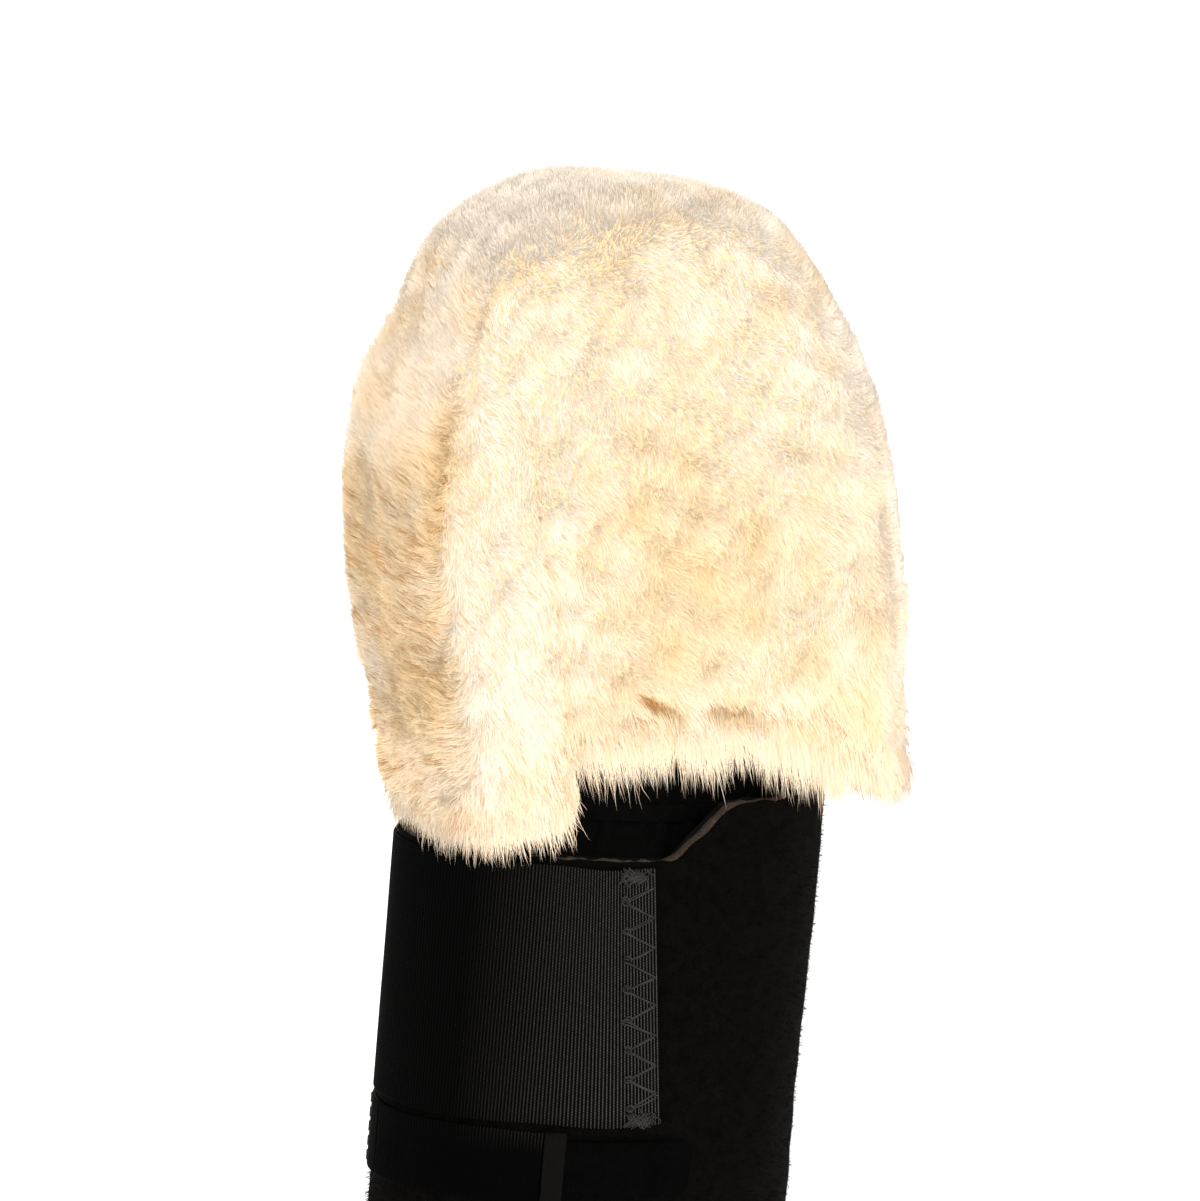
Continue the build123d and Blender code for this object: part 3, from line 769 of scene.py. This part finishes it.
# ---------------------------------------------------------------- closure strap
strap_low, strap_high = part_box("closure_strap")
anchor_low, anchor_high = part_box("strap_anchor")
strap_t = 1.6 * MM
strap_a, strap_b = -strap_low.x, cuff_b + 0.2 * MM + strap_t
strap_front = math.acos(max(-1, strap_high.x / strap_a))
root_angle = -math.pi + math.asin(min(1, -strap_high.y / strap_b)) if strap_high.y < 0 else -math.pi
strap_angles = np.linspace(-strap_front, root_angle, 300)


def strap_wave(p):
    return 0.12 * MM * waves(p, 22 * MM, 13)


strap_edge = 0.25 * MM * waves(on_oval(strap_a, strap_b, strap_angles, 0, 0.1), 25 * MM, 14)
strap = wall("strap_elastic", strap_a, strap_b, strap_t - 0.2 * MM, strap_angles,
             strap_low.z + strap_edge, strap_high.z + strap_edge, 22, elastic, "strap",
             closed=False, bulge=strap_wave, ribs=RIB_DEPTH, rounding=0.45 * MM)
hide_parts("closure_strap")

anchor_a, anchor_b = -anchor_low.x, cuff_b + strap_t
anchor_ends = [math.pi - math.asin(y / anchor_b) for y in (anchor_low.y, anchor_high.y)]
anchor_angles = np.linspace(*anchor_ends, 90)
anchor = wall("strap_root_elastic", anchor_a, anchor_b, strap_t, anchor_angles, anchor_low.z,
              anchor_high.z, 22, elastic, "cuff", closed=False, ribs=RIB_DEPTH, rounding=0.45 * MM)
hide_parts("strap_anchor")

bind_low, bind_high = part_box("strap_end_binding")
bind_a = strap_a + 0.6 * MM
bind_angles = -np.arccos(np.clip(np.linspace(bind_high.x, bind_low.x, 16) / bind_a, -1, 1))
end_tape = wall("strap_end_tape", bind_a, strap_b + 0.6 * MM, 2.1 * MM, bind_angles, bind_low.z,
                bind_high.z, 26, binding, "strap", closed=False,
                bulge=lambda p: 0.12 * MM * waves(p, 5 * MM, 15), rounding=0.7 * MM)
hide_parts("strap_end_binding")

# The pieces that keep the frame's own meshes.
PILE = ("pile_front_panel", "pile_back_panel", "pile_side_band")
HIDE = ("hide_front", "hide_back", "hide_side_band")
DRESSED = (
    (hook, ("hook_tab", "hook_field")),
    (thread, ("left_side_stitching", "right_side_stitching", "strap_anchor_stitching")),
    (seam_thread, ("front_seam_stitching", "back_seam_stitching")),
    (suede, HIDE),
    (jersey, ("mitt_lining_front", "mitt_lining_back", "mitt_lining_side_band")),
)
for material, names in DRESSED:
    for name in names:
        nodes[name].data.materials.clear()
        nodes[name].data.materials.append(material)

# ---------------------------------------------------------------- the mitt's own axes
lean_u = np.array([math.cos(MITT_LEAN), 0, math.sin(MITT_LEAN)])
lean_v = np.array([-math.sin(MITT_LEAN), 0, math.cos(MITT_LEAN)])
lean_w = np.array([0.0, -1.0, 0.0])


def to_world(v):
    return v[:, 0:1] * lean_u + v[:, 1:2] * lean_v + v[:, 2:3] * lean_w


def to_local(v):
    return np.stack([v @ lean_u, v @ lean_v, v @ lean_w], -1)


pile_points = np.vstack([points_of(n) for n in PILE])
local = to_local(pile_points)
middle_u = (local[:, 0].min() + local[:, 0].max()) / 2
middle_w = (local[:, 2].min() + local[:, 2].max()) / 2
half_width = (local[:, 0].max() - local[:, 0].min()) / 2
left_lobe = local[local[:, 0] < middle_u - 0.6 * half_width][:, 1].min()


def to_mitt(p):
    """Across, up and forward in the mitt's own axes, from the middle of its left lobe's level."""
    return np.stack([p @ lean_u - middle_u, p @ lean_v - left_lobe, p @ lean_w - middle_w], -1)


def from_mitt(q):
    return to_world(q + np.array([middle_u, left_lobe, middle_w]))


def triangles_of(name):
    mesh = nodes[name].data
    mesh.calc_loop_triangles()
    corners = np.zeros(len(mesh.loop_triangles) * 3, np.int32)
    mesh.loop_triangles.foreach_get("vertices", corners)
    loops = np.zeros(len(mesh.loop_triangles) * 3, np.int32)
    mesh.loop_triangles.foreach_get("loops", loops)
    normals = np.zeros(len(mesh.loops) * 3, np.float32)
    mesh.corner_normals.foreach_get("vector", normals)
    return points_of(name), corners.reshape(-1, 3), normals.reshape(-1, 3)[loops].reshape(-1, 3, 3)


def search_tree(names):
    points, faces, base = [], [], 0
    for name in names:
        p, t, _ = triangles_of(name)
        points.append(p)
        faces.append(t + base)
        base += len(p)
    return BVHTree.FromPolygons(np.vstack(points).tolist(), np.vstack(faces).tolist())


pile_tree = search_tree(PILE)
hide_tree = search_tree(HIDE)


def sample_pile(spacing, seed):
    """Random points on the outside of the pile, with their normals and the direction from the hide."""
    rng = np.random.default_rng(seed)
    points, normals = [], []
    for name in PILE:
        p, t, n = triangles_of(name)
        a, b, c = p[t[:, 0]], p[t[:, 1]], p[t[:, 2]]
        area = np.linalg.norm(np.cross(b - a, c - a), axis=1) / 2
        count = int(area.sum() / spacing ** 2)
        chosen = rng.choice(len(t), count, p=area / area.sum())
        u, v = rng.random(count), rng.random(count)
        flip = u + v > 1
        u[flip], v[flip] = 1 - u[flip], 1 - v[flip]
        w = 1 - u - v
        points.append(a[chosen] * w[:, None] + b[chosen] * u[:, None] + c[chosen] * v[:, None])
        n = n[chosen]
        normals.append(unit(n[:, 0] * w[:, None] + n[:, 1] * u[:, None] + n[:, 2] * v[:, None]))
    points, normals = np.vstack(points), np.vstack(normals)
    keep, nearest = np.zeros(len(points), bool), np.zeros_like(points)
    for i, (p, n) in enumerate(zip(points.tolist(), normals.tolist())):
        place, _, _, distance = hide_tree.find_nearest(p)
        nearest[i] = place
        if distance < 0.8 * MM:
            continue
        start = Vector(p) + Vector(n) * 0.3 * MM
        keep[i] = pile_tree.ray_cast(start, Vector(n), 0.06)[0] is None
    return points[keep], normals[keep], unit(points - nearest)[keep]


def crown_shape(q):
    """The brushed wool stands taller over the crown, and shorter on the left shoulder."""
    across, up, _ = q.T
    raised = 7.0 * MM * np.exp(-((across + 9 * MM) / (32 * MM)) ** 2) * smooth_step(165 * MM, 188 * MM, up)
    drawn_in = np.exp(-((across + 62 * MM) / (18 * MM)) ** 2) * smooth_step(146 * MM, 168 * MM, up)
    return raised - 5.0 * MM * drawn_in


def sag(q):
    """How far the wool of the right lobe hangs down and in, as a vector; its outer corner is rounded."""
    in_lobe = smooth_step(56 * MM, 78 * MM, q[:, 0]) * smooth_step(48 * MM, 2 * MM, q[:, 1])
    corner = smooth_step(80 * MM, 95 * MM, q[:, 0])
    return (-lean_v * 12 * MM - lean_u * 4 * MM) * (in_lobe * (1 - 0.55 * corner))[:, None]


# ---------------------------------------------------------------- wool under the pile's surface
def under_wool():
    """The pile's solids as one soft body, drawn in below the ends of the wool."""
    made = bmesh.new()
    for name in PILE:
        made.from_mesh(nodes[name].data)
    bmesh.ops.remove_doubles(made, verts=made.verts, dist=0.01 * MM)
    mesh = bpy.data.meshes.new("joined")
    made.to_mesh(mesh)
    made.free()
    joined = bpy.data.objects.new("joined", mesh)
    scene.collection.objects.link(joined)
    remesh = joined.modifiers.new("remesh", "REMESH")
    remesh.mode = "VOXEL"
    remesh.voxel_size = 1.8 * MM
    shaped = joined.modifiers.new("smooth", "SMOOTH")
    shaped.factor, shaped.iterations = 0.5, 6
    graph = bpy.context.evaluated_depsgraph_get()
    result = bpy.data.meshes.new_from_object(joined.evaluated_get(graph))
    bpy.data.objects.remove(joined)
    points, normals = read_vectors(result.vertices, "co"), read_vectors(result.vertices, "normal")
    room = np.array([hide_tree.find_nearest(p)[3] for p in points.tolist()])
    depth = np.clip(room * 0.5, 0.6 * MM, UNDER_DEPTH)
    depth = depth + 0.5 * MM * waves(points, 9 * MM, 31) * (room > 8 * MM)
    q = to_mitt(points)
    depth -= 0.8 * crown_shape(q) * smooth_step(6 * MM, 16 * MM, room)
    depth += PARTING_DEPTH * partings(q, to_local(normals))[0]
    points = points - normals * depth[:, None] + sag(q)
    result.vertices.foreach_set("co", points.astype(np.float32).ravel())
    result.update()
    result.shade_smooth()
    piece = bpy.data.objects.new("under_wool", result)
    scene.collection.objects.link(piece)
    result.materials.clear()
    result.materials.append(under)
    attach(piece, "mitt")
    return piece


# ---------------------------------------------------------------- wool strands
def comb_direction(q, n_local, points):
    """Which way the wool lies, in the mitt's own axes: across, up and forward."""
    across, up, forward = n_local.T
    at_side = smooth_step(0.45, 0.85, np.abs(across))
    on_front = smooth_step(0.4, 0.8, np.abs(forward))
    height = q[:, 1]
    lobe = smooth_step(55 * MM, 5 * MM, height)
    comb = np.zeros_like(q)
    comb[:, 1] += on_front * (-0.42 + 0.1 * waves(points, 50 * MM, 41))
    comb[:, 0] += on_front * 0.14 * waves(points, 45 * MM, 42)
    comb[:, 1] += at_side * (0.62 - 1.25 * lobe)
    comb[:, 2] += at_side * (-0.5 + 0.35 * waves(points, 40 * MM, 43))
    comb[:, 1] -= 0.75 * lobe * (1 - at_side)
    comb += 0.16 * np.stack([waves(points, 12 * MM, s) for s in (44, 45, 46)], -1)
    return comb


def clumps(points, size, seed):
    """The nearest of a set of scattered centres for each point."""
    rng = np.random.default_rng(seed)
    count = max(20, int(len(points) * (PILE_SPACING / size) ** 2))
    centres = points[rng.choice(len(points), min(count, len(points)), replace=False)]
    tree = KDTree(len(centres))
    for i, c in enumerate(centres.tolist()):
        tree.insert(c, i)
    tree.balance()
    index = np.array([tree.find(p)[1] for p in points.tolist()])
    return centres, index


def strand_mesh(root, tip, bend, radius, form, shade, warm):
    """Tapered three-sided strands with a curve, as points, triangles, attributes and baking places."""
    steps = np.array([0.0, 0.45, 0.8])
    widths = np.array([1.0, 0.95, 0.6])
    turns = (30, 150, 270)  # a flat side faces out, so that the fleece shades evenly
    count = len(root)
    ahead = unit(tip - root)
    side = unit(np.cross(ahead, form + 0.01))
    top = np.cross(side, ahead)
    rows = []
    for t, width in zip(steps, widths):
        centre = root + (tip - root) * t + bend * (4 * t * (1 - t))
        for a in map(math.radians, turns):
            rows.append(centre + (side * math.cos(a) + top * math.sin(a)) * (radius * width)[:, None])
    rows.append(tip)
    points = np.stack(rows, 1)
    pattern = []
    for ring_number in range(2):
        a = ring_number * 3
        for j in range(3):
            k = (j + 1) % 3
            pattern += [(a + j, a + k, a + 3 + k), (a + j, a + 3 + k, a + 3 + j)]
    pattern += [(6, 7, 9), (7, 8, 9), (8, 6, 9)]
    pattern = np.array(pattern)
    triangles = (pattern[None] + (np.arange(count) * HAIR_POINTS)[:, None, None]).reshape(-1, 3)
    along = np.tile(np.append(np.repeat(steps, 3), 1.0), count)
    columns = math.ceil(math.sqrt(count * 3))
    lines = math.ceil(count / columns)
    cell_x, cell_y = np.arange(count) % columns, np.arange(count) // columns
    offset_x = np.tile(np.append(np.tile([0.1, 0.5, 0.9], 3), 0.5), count)
    u = (np.repeat(cell_x, HAIR_POINTS) + offset_x) / columns
    v = (np.repeat(cell_y, HAIR_POINTS) + 0.06 + 0.88 * along) / lines
    attributes = {"along": along, "shade": np.repeat(shade, HAIR_POINTS),
                  "warm": np.repeat(warm, HAIR_POINTS), "form": np.repeat(form, HAIR_POINTS, 0)}
    return points.reshape(-1, 3), triangles, attributes, np.stack([u, v], -1)


def strand_pieces(name, order, *strands):
    """The strands as several pieces, each small enough to export, split along an ordering.

    The strands are strand_mesh's values, each an array with a row for every strand.
    """
    ranked = np.argsort(order, kind="stable")
    total = math.ceil(len(ranked) / (MAX_TRIANGLES // HAIR_TRIANGLES))
    for i, part in enumerate(np.array_split(ranked, total)):
        points, triangles, attributes, uv = strand_mesh(*[values[part] for values in strands])
        piece = mesh_piece(f"{name}_{i + 1}", points, triangles, wool, "mitt", attributes)
        bake_corners(piece, uv)
        piece.visible_shadow = False


# Across, up, length and width in millimetres, and the turn in degrees.
DENTS = ((-15, 34, 5, 2.4, -50), (-9, 30, 5, 2.2, -25), (11, 25, 7, 2.6, -25), (20, 21, 5, 2.2, -35))


def flat_on(vectors, form):
    """What is left of vectors along a surface whose normals are form."""
    return vectors - form * np.sum(vectors * form, 1, keepdims=True)


def partings(q, n_local):
    """Where the wool parts on the front: dents over the arch, and a line above the left lobe's edge."""
    on_front = smooth_step(0.5, 0.9, n_local[:, 2])
    dents = np.zeros(len(q))
    for across, up, length, width, degrees in DENTS:
        turn = math.radians(degrees)
        a, b = q[:, 0] - across * MM, q[:, 1] - up * MM
        along = a * math.cos(turn) + b * math.sin(turn)
        away = b * math.cos(turn) - a * math.sin(turn)
        dents += np.exp(-(along / (length * MM)) ** 2 - (away / (width * MM)) ** 2)
    line = np.exp(-((q[:, 0] + 45 * MM + 0.8 * MM * np.sin(q[:, 1] / (14 * MM))) / (1.7 * MM)) ** 2)
    line = line * smooth_step(20 * MM, 40 * MM, q[:, 1]) * smooth_step(150 * MM, 110 * MM, q[:, 1])
    return np.clip(dents, 0, 1) * on_front, line * on_front


def grow_pile():
    """The strands over the whole pile. Where they grow goes back, for the fringe."""
    points, normals, outward = sample_pile(PILE_SPACING * (1), 51)
    rng = np.random.default_rng(52)
    count = len(points)
    q = to_mitt(points)
    form = unit(0.55 * normals + 0.45 * outward)
    n_local = to_local(form)
    comb = flat_on(to_world(comb_direction(q, n_local, points)), form)
    at_side = smooth_step(0.45, 0.85, np.abs(n_local[:, 0]))
    lobe = smooth_step(60 * MM, 5 * MM, q[:, 1])
    rough = np.clip(0.05 + 0.5 * at_side + 0.45 * lobe, 0, 1)
    big, big_index = clumps(points, 11 * MM, 53)
    small, small_index = clumps(points, 2.8 * MM, 54)
    big_offset = rng.normal(size=(len(big), 3))
    small_offset = rng.normal(size=(len(small), 3))
    pull_big = flat_on(big[big_index] - points, form)
    pull_small = flat_on(small[small_index] - points, form)
    by_clump = 0.6 * big_offset[big_index, 0] * rough
    by_clump = by_clump + 0.3 * small_offset[small_index, 0] * (0.2 + 0.8 * rough)
    lift = (by_clump + 0.25 * rng.normal(size=count) - 0.6) * MM + crown_shape(q)
    parting, seam_line = partings(q, n_local)
    lift = lift - PARTING_DEPTH * parting - 1.1 * MM * seam_line
    lower = np.where(n_local[:, 1] > -0.5, smooth_step(13 * MM, -6 * MM, q[:, 1]), 0)
    lift = lift - (4.5 + 2.5 * smooth_step(50 * MM, 80 * MM, q[:, 0])) * MM * lower ** 2
    lean = comb + 0.17 * rough[:, None] * big_offset[big_index]
    lean = lean + (0.04 + 0.07 * rough[:, None]) * small_offset[small_index]
    lean = flat_on(lean + (0.07 + 0.08 * rough)[:, None] * rng.normal(size=(count, 3)), form)
    tip = (points + sag(q) + form * lift[:, None] + pull_big * (0.10 * rough)[:, None]
           + pull_small * (0.05 + 0.18 * rough)[:, None] + lean * 2.0 * MM)
    length = PILE_LENGTH * rng.uniform(0.85, 1.1, count)
    growth = unit(form + 0.75 * lean)
    root = tip - growth * length[:, None]
    bend = form * (1.2 * MM) - lean * 0.9 * MM + 0.5 * MM * rng.normal(size=(count, 3))
    radius = HAIR_RADIUS * rng.uniform(0.7, 1.3, count)
    shade = np.clip(0.35 + 0.25 * small_offset[small_index, 1] + 0.2 * big_offset[big_index, 1] * rough
                    + 0.2 * rng.normal(size=count), 0, 1)
    glow = np.exp(-((q[:, 0] - 12 * MM) / (42 * MM)) ** 2 - ((q[:, 1] - 58 * MM) / (45 * MM)) ** 2)
    # Painted shade: the left side is made darker and more tan, less so towards the top.
    painted_left_shade = at_side * (n_local[:, 0] < 0) * (1 - 0.8 * smooth_step(95 * MM, 145 * MM, q[:, 1]))
    warm = np.clip(0.22 + 0.18 * waves(points, 70 * MM, 55) + 0.12 * waves(points, 18 * MM, 56)
                   + 0.4 * painted_left_shade + 0.5 * glow - 0.25 * smooth_step(150 * MM, 195 * MM, q[:, 1]), 0, 1)
    # Painted shade along the rounded edge between the front and the left side, where the lit front turns
    # into the shaded side.
    painted_crease_shade = np.exp(-((n_local[:, 0] + 0.66) / 0.15) ** 2) * (n_local[:, 2] > 0)
    painted_crease_shade = painted_crease_shade * smooth_step(50 * MM, 110 * MM, q[:, 1])
    painted_crease_shade *= np.clip(0.75 + 0.4 * waves(points, 30 * MM, 57), 0, 1)
    # In the partings and along the parting line the wool goes darker and more orange: the roots' own
    # colour, and painted shade in the dents.
    warm = np.clip(warm + 0.7 * parting + 0.25 * seam_line + 0.6 * painted_crease_shade, 0, 1)
    shade = shade + 0.55 * painted_crease_shade + 0.5 * painted_left_shade
    shade = np.clip(shade + 1.6 * parting + 0.4 * seam_line, 0, 2)
    # Pieces go from the front to the sides to the back, and each from the left to the right.
    face = 26 * MM
    order = np.where(q[:, 2] > face, 0, np.where(q[:, 2] < -face, 2, 1)) * 10 + q[:, 0]
    strand_pieces("pile_wool", order, root, tip, bend, radius, form, shade, warm)
    return points, normals, form


def grow_fringe(points, normals, form):
    """Longer wool that hangs from the lobes and the arch."""
    rng = np.random.default_rng(61)
    q = to_mitt(points)
    n_local = to_local(normals)
    hem = (n_local[:, 1] < -0.8) & (q[:, 1] < 40 * MM)
    near = (q[:, 1] < 5 * MM) & ~hem & (rng.random(len(points)) < 0.5)
    chosen = np.where(hem | near)[0]
    picks = rng.choice(chosen, int(len(chosen) * 1.5), replace=True)
    p = points[picks] + sag(q[picks]) + rng.normal(size=(len(picks), 3)) * 0.5 * MM
    f = form[picks]
    count = len(picks)
    big, index = clumps(p, 3.2 * MM, 62)
    offset = rng.normal(size=(len(big), 3))
    pull = big[index] - p
    pull -= lean_v * (pull @ lean_v)[:, None]
    arch = smooth_step(54 * MM, 44 * MM, np.abs(q[picks][:, 0]))
    right_end = arch * smooth_step(12 * MM, 40 * MM, q[picks][:, 0])
    wisps, wisp = clumps(p, 8 * MM, 63)
    hang = rng.normal(size=len(wisps))[wisp]
    reach = rng.random(count) ** 2.6 * (9 + 3 * arch) * MM
    reach += (0.7 * offset[index, 0] - 1.0 + 3.5 * arch + 1.6 * hang * (0.6 + arch) + 9.0 * right_end) * MM
    outward = f - lean_v * (f @ lean_v)[:, None]
    tip = p - lean_v * reach[:, None] - outward * (0.6 * MM) + pull * 0.2 + 1.1 * MM * offset[index]
    tip = tip + 1.5 * MM * rng.normal(size=(count, 3))
    root = p + lean_v * (9 * MM) - outward * (4.5 * MM) + pull * 0.1
    bend = outward * (1.0 * MM) + 0.9 * MM * rng.normal(size=(count, 3))
    radius = HAIR_RADIUS * rng.uniform(0.4, 0.85, count)
    shade = np.clip(0.25 + 0.25 * offset[index, 1] + 0.2 * rng.normal(size=count), 0, 1)
    warm = np.clip(0.4 + 0.15 * rng.normal(size=count), 0, 1)
    normal = unit(outward + 0.35 * f)
    strand_pieces("hem_wool", q[picks][:, 0], root, tip, bend, radius, normal, shade, warm)


fleece = under_wool()
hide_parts(*PILE)
grow_fringe(*grow_pile())


# ---------------------------------------------------------------- loops that stand up from the cuff's face
def grow_loops(count, seed):
    """Short curled fibres on the free part of the brushed loop fabric."""
    rng = np.random.default_rng(seed)
    turn = np.linspace(0, 2 * math.pi, 4000)
    length = arc_along(on_oval(cuff_a, cuff_b, turn, 0, 0.0))
    angle = np.interp(rng.random(count) * length[-1], length, turn)
    z = rng.uniform(hem_high.z + 1.5 * MM, rim_high, count)
    flat = on_oval(cuff_a, cuff_b, angle, 0, z)
    _, tab_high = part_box("hook_tab")
    over = 1.5 * MM
    level = (z > strap_low.z - over) & (z < strap_high.z + over)
    covered = level & (flat[:, 1] < 0) & (flat[:, 0] < tab_high.x + over)
    covered |= level & (flat[:, 0] < 0) & (flat[:, 1] < anchor_high.y + over)
    free = (z < rim_height(flat[:, 0]) - 0.3 * MM) & (under_band(flat) < 0.02) & ~covered
    angle, z, flat = angle[free], z[free], flat[free]
    count = len(z)
    root = on_oval(cuff_a, cuff_b, angle, face_bulge(flat) - 0.2 * MM, z)
    out = unit(np.stack([np.cos(angle) / cuff_a, np.sin(angle) / cuff_b, 0 * angle], -1))
    aside = rng.normal(size=(count, 3)) * 0.7 * MM
    tip = root + out * rng.uniform(0.5, 1.3, count)[:, None] * MM + aside
    bend = rng.normal(size=(count, 3)) * 0.35 * MM
    radius = rng.uniform(0.05, 0.10, count) * MM
    total = math.ceil(count * HAIR_TRIANGLES / MAX_TRIANGLES)
    for i, part in enumerate(np.array_split(np.argsort(z), total)):
        none = np.zeros(len(part))
        points, triangles, _, uv = strand_mesh(
            root[part], tip[part], bend[part], radius[part], out[part], none, none)
        piece = mesh_piece(f"loop_fibres_{i + 1}", points, triangles, loop, "cuff")
        bake_corners(piece, uv)


grow_loops(LOOP_FIBRES, 71)

# ---------------------------------------------------------------- wrist sleeve
gusset_low, gusset_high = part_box("wrist_gusset")
collar_low, collar_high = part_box("wrist_elastic")
collar_mid = (collar_low + collar_high) / 2
mouth_side = to_mitt(points_of("mitt_lining_side_band"))
mouth_side = mouth_side[np.abs(mouth_side[:, 1]) < 12 * MM]
mouth_half = np.abs(mouth_side[:, 0]).min() - SLEEVE_GAP
mouth_depth = np.abs(to_mitt(points_of("mitt_lining_front"))[:, 2]).min() - SLEEVE_GAP


def sleeve_loops(columns, rows):
    """A knitted sleeve: fixed inside the cuff, gathered by the elastic, spread into the mitt's mouth."""
    t = np.linspace(0, 2 * math.pi, columns + 1)[:-1]
    collar_a = (collar_high.x - collar_low.x) / 2 - SLEEVE_GAP
    collar_b = (collar_high.y - collar_low.y) / 2 - SLEEVE_GAP
    low = on_oval(gusset_high.x - 1.2 * MM, gusset_high.y - 1.2 * MM, t, 0, gusset_low.z)
    squareness = 0.55  # 1 is an oval
    across, forward = [np.sign(f(t)) * np.abs(f(t)) ** squareness for f in (np.cos, np.sin)]
    neck = on_oval(collar_a, collar_b, t, 0, collar_mid.z) + np.array([collar_mid.x, 0, 0])
    rise = np.full(columns, SLEEVE_RISE)
    high = from_mitt(np.stack([across * mouth_half, rise, -forward * mouth_depth], -1))
    loops = []
    for s in np.linspace(0, 1, rows):
        start, end, k = (low, neck, s / 0.5) if s < 0.5 else (neck, high, (s - 0.5) / 0.5)
        eased = k * k * (3 - 2 * k)
        p = start + (end - start) * np.array([eased, eased, k])
        gather = math.exp(-((s - 0.5) / 0.2) ** 2)
        ripple = 0.9 * np.sin(31 * t) + 0.5 * np.sin(47 * t + 1) + 0.5 * np.sin(19 * t + 3 * s)
        ripple = ripple * MM * gather
        direction = unit(p - p.mean(0))
        direction[:, 2] = 0
        loops.append(p + direction * (ripple - 1.0 * MM * gather)[:, None])
    return np.array(loops)


def make_sleeve():
    columns, rows = 150, 36
    loops = sleeve_loops(columns, rows)
    i, j = np.meshgrid(np.arange(rows - 1), np.arange(columns), indexing="ij")
    m = (j + 1) % columns
    quads = np.stack([i * columns + j, i * columns + m, (i + 1) * columns + m, (i + 1) * columns + j], -1)
    piece = mesh_piece("wrist_sleeve", loops.reshape(-1, 3), quads.reshape(-1, 4), jersey, None)
    relax_sleeve(piece, columns, rows)
    thick = piece.modifiers.new("thickness", "SOLIDIFY")
    thick.thickness, thick.offset = 1.0 * MM, 0
    graph = bpy.context.evaluated_depsgraph_get()
    solid = bpy.data.meshes.new_from_object(piece.evaluated_get(graph))
    piece.modifiers.clear()
    piece.data = solid
    solid.shade_smooth()
    return piece


def relax_sleeve(piece, columns, rows):
    """Cloth between its fixed rows, cut a little long so that it wrinkles."""
    group = piece.vertex_groups.new(name="fixed")
    fixed_rows = (0, 1, rows // 2 - 1, rows // 2, rows - 2, rows - 1)
    group.add([r * columns + c for r in fixed_rows for c in range(columns)], 1.0, "REPLACE")
    start = read_vectors(piece.data.vertices, "co")
    cloth = piece.modifiers.new("cloth", "CLOTH")
    settings = cloth.settings
    settings.quality = 6
    settings.mass = 0.15
    settings.tension_stiffness = settings.compression_stiffness = 12
    settings.bending_stiffness = 0.4
    settings.shrink_min = -0.06
    settings.vertex_group_mass = "fixed"
    settings.effector_weights.gravity = 0.3
    cloth.collision_settings.use_collision = False
    scene.frame_start, scene.frame_end = 1, SLEEVE_FRAMES
    for number in range(1, SLEEVE_FRAMES + 1):
        scene.frame_set(number)
    graph = bpy.context.evaluated_depsgraph_get()
    result = bpy.data.meshes.new_from_object(piece.evaluated_get(graph))
    shift = read_vectors(result.vertices, "co") - start
    size = np.linalg.norm(shift, axis=1, keepdims=True)
    shift *= np.minimum(1, SLEEVE_SHIFT / np.maximum(size, 1e-9))
    piece.modifiers.clear()
    piece.data.vertices.foreach_set("co", (start + shift).ravel())
    piece.data.update()
    scene.frame_set(1)


sleeve = make_sleeve()
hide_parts("wrist_gusset")
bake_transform(sleeve)

neck_angles = np.linspace(0, 2 * math.pi, 401)[:-1]
neck_a, neck_b = (collar_high.x - collar_low.x) / 2, (collar_high.y - collar_low.y) / 2


def neck_gathers(p):
    return 0.2 * MM * np.sin(np.arctan2(p[:, 1] / neck_b, p[:, 0] / neck_a) * 60)


neck_ring = wall("neck_elastic", neck_a, neck_b, 1.2 * MM, neck_angles, collar_low.z, collar_high.z, 8,
                 jersey, None, rounding=0.4 * MM, bulge=neck_gathers)
neck_ring.data.transform(Matrix.Translation((collar_mid.x, collar_mid.y, 0)))
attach(neck_ring, "cuff")
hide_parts("wrist_elastic")
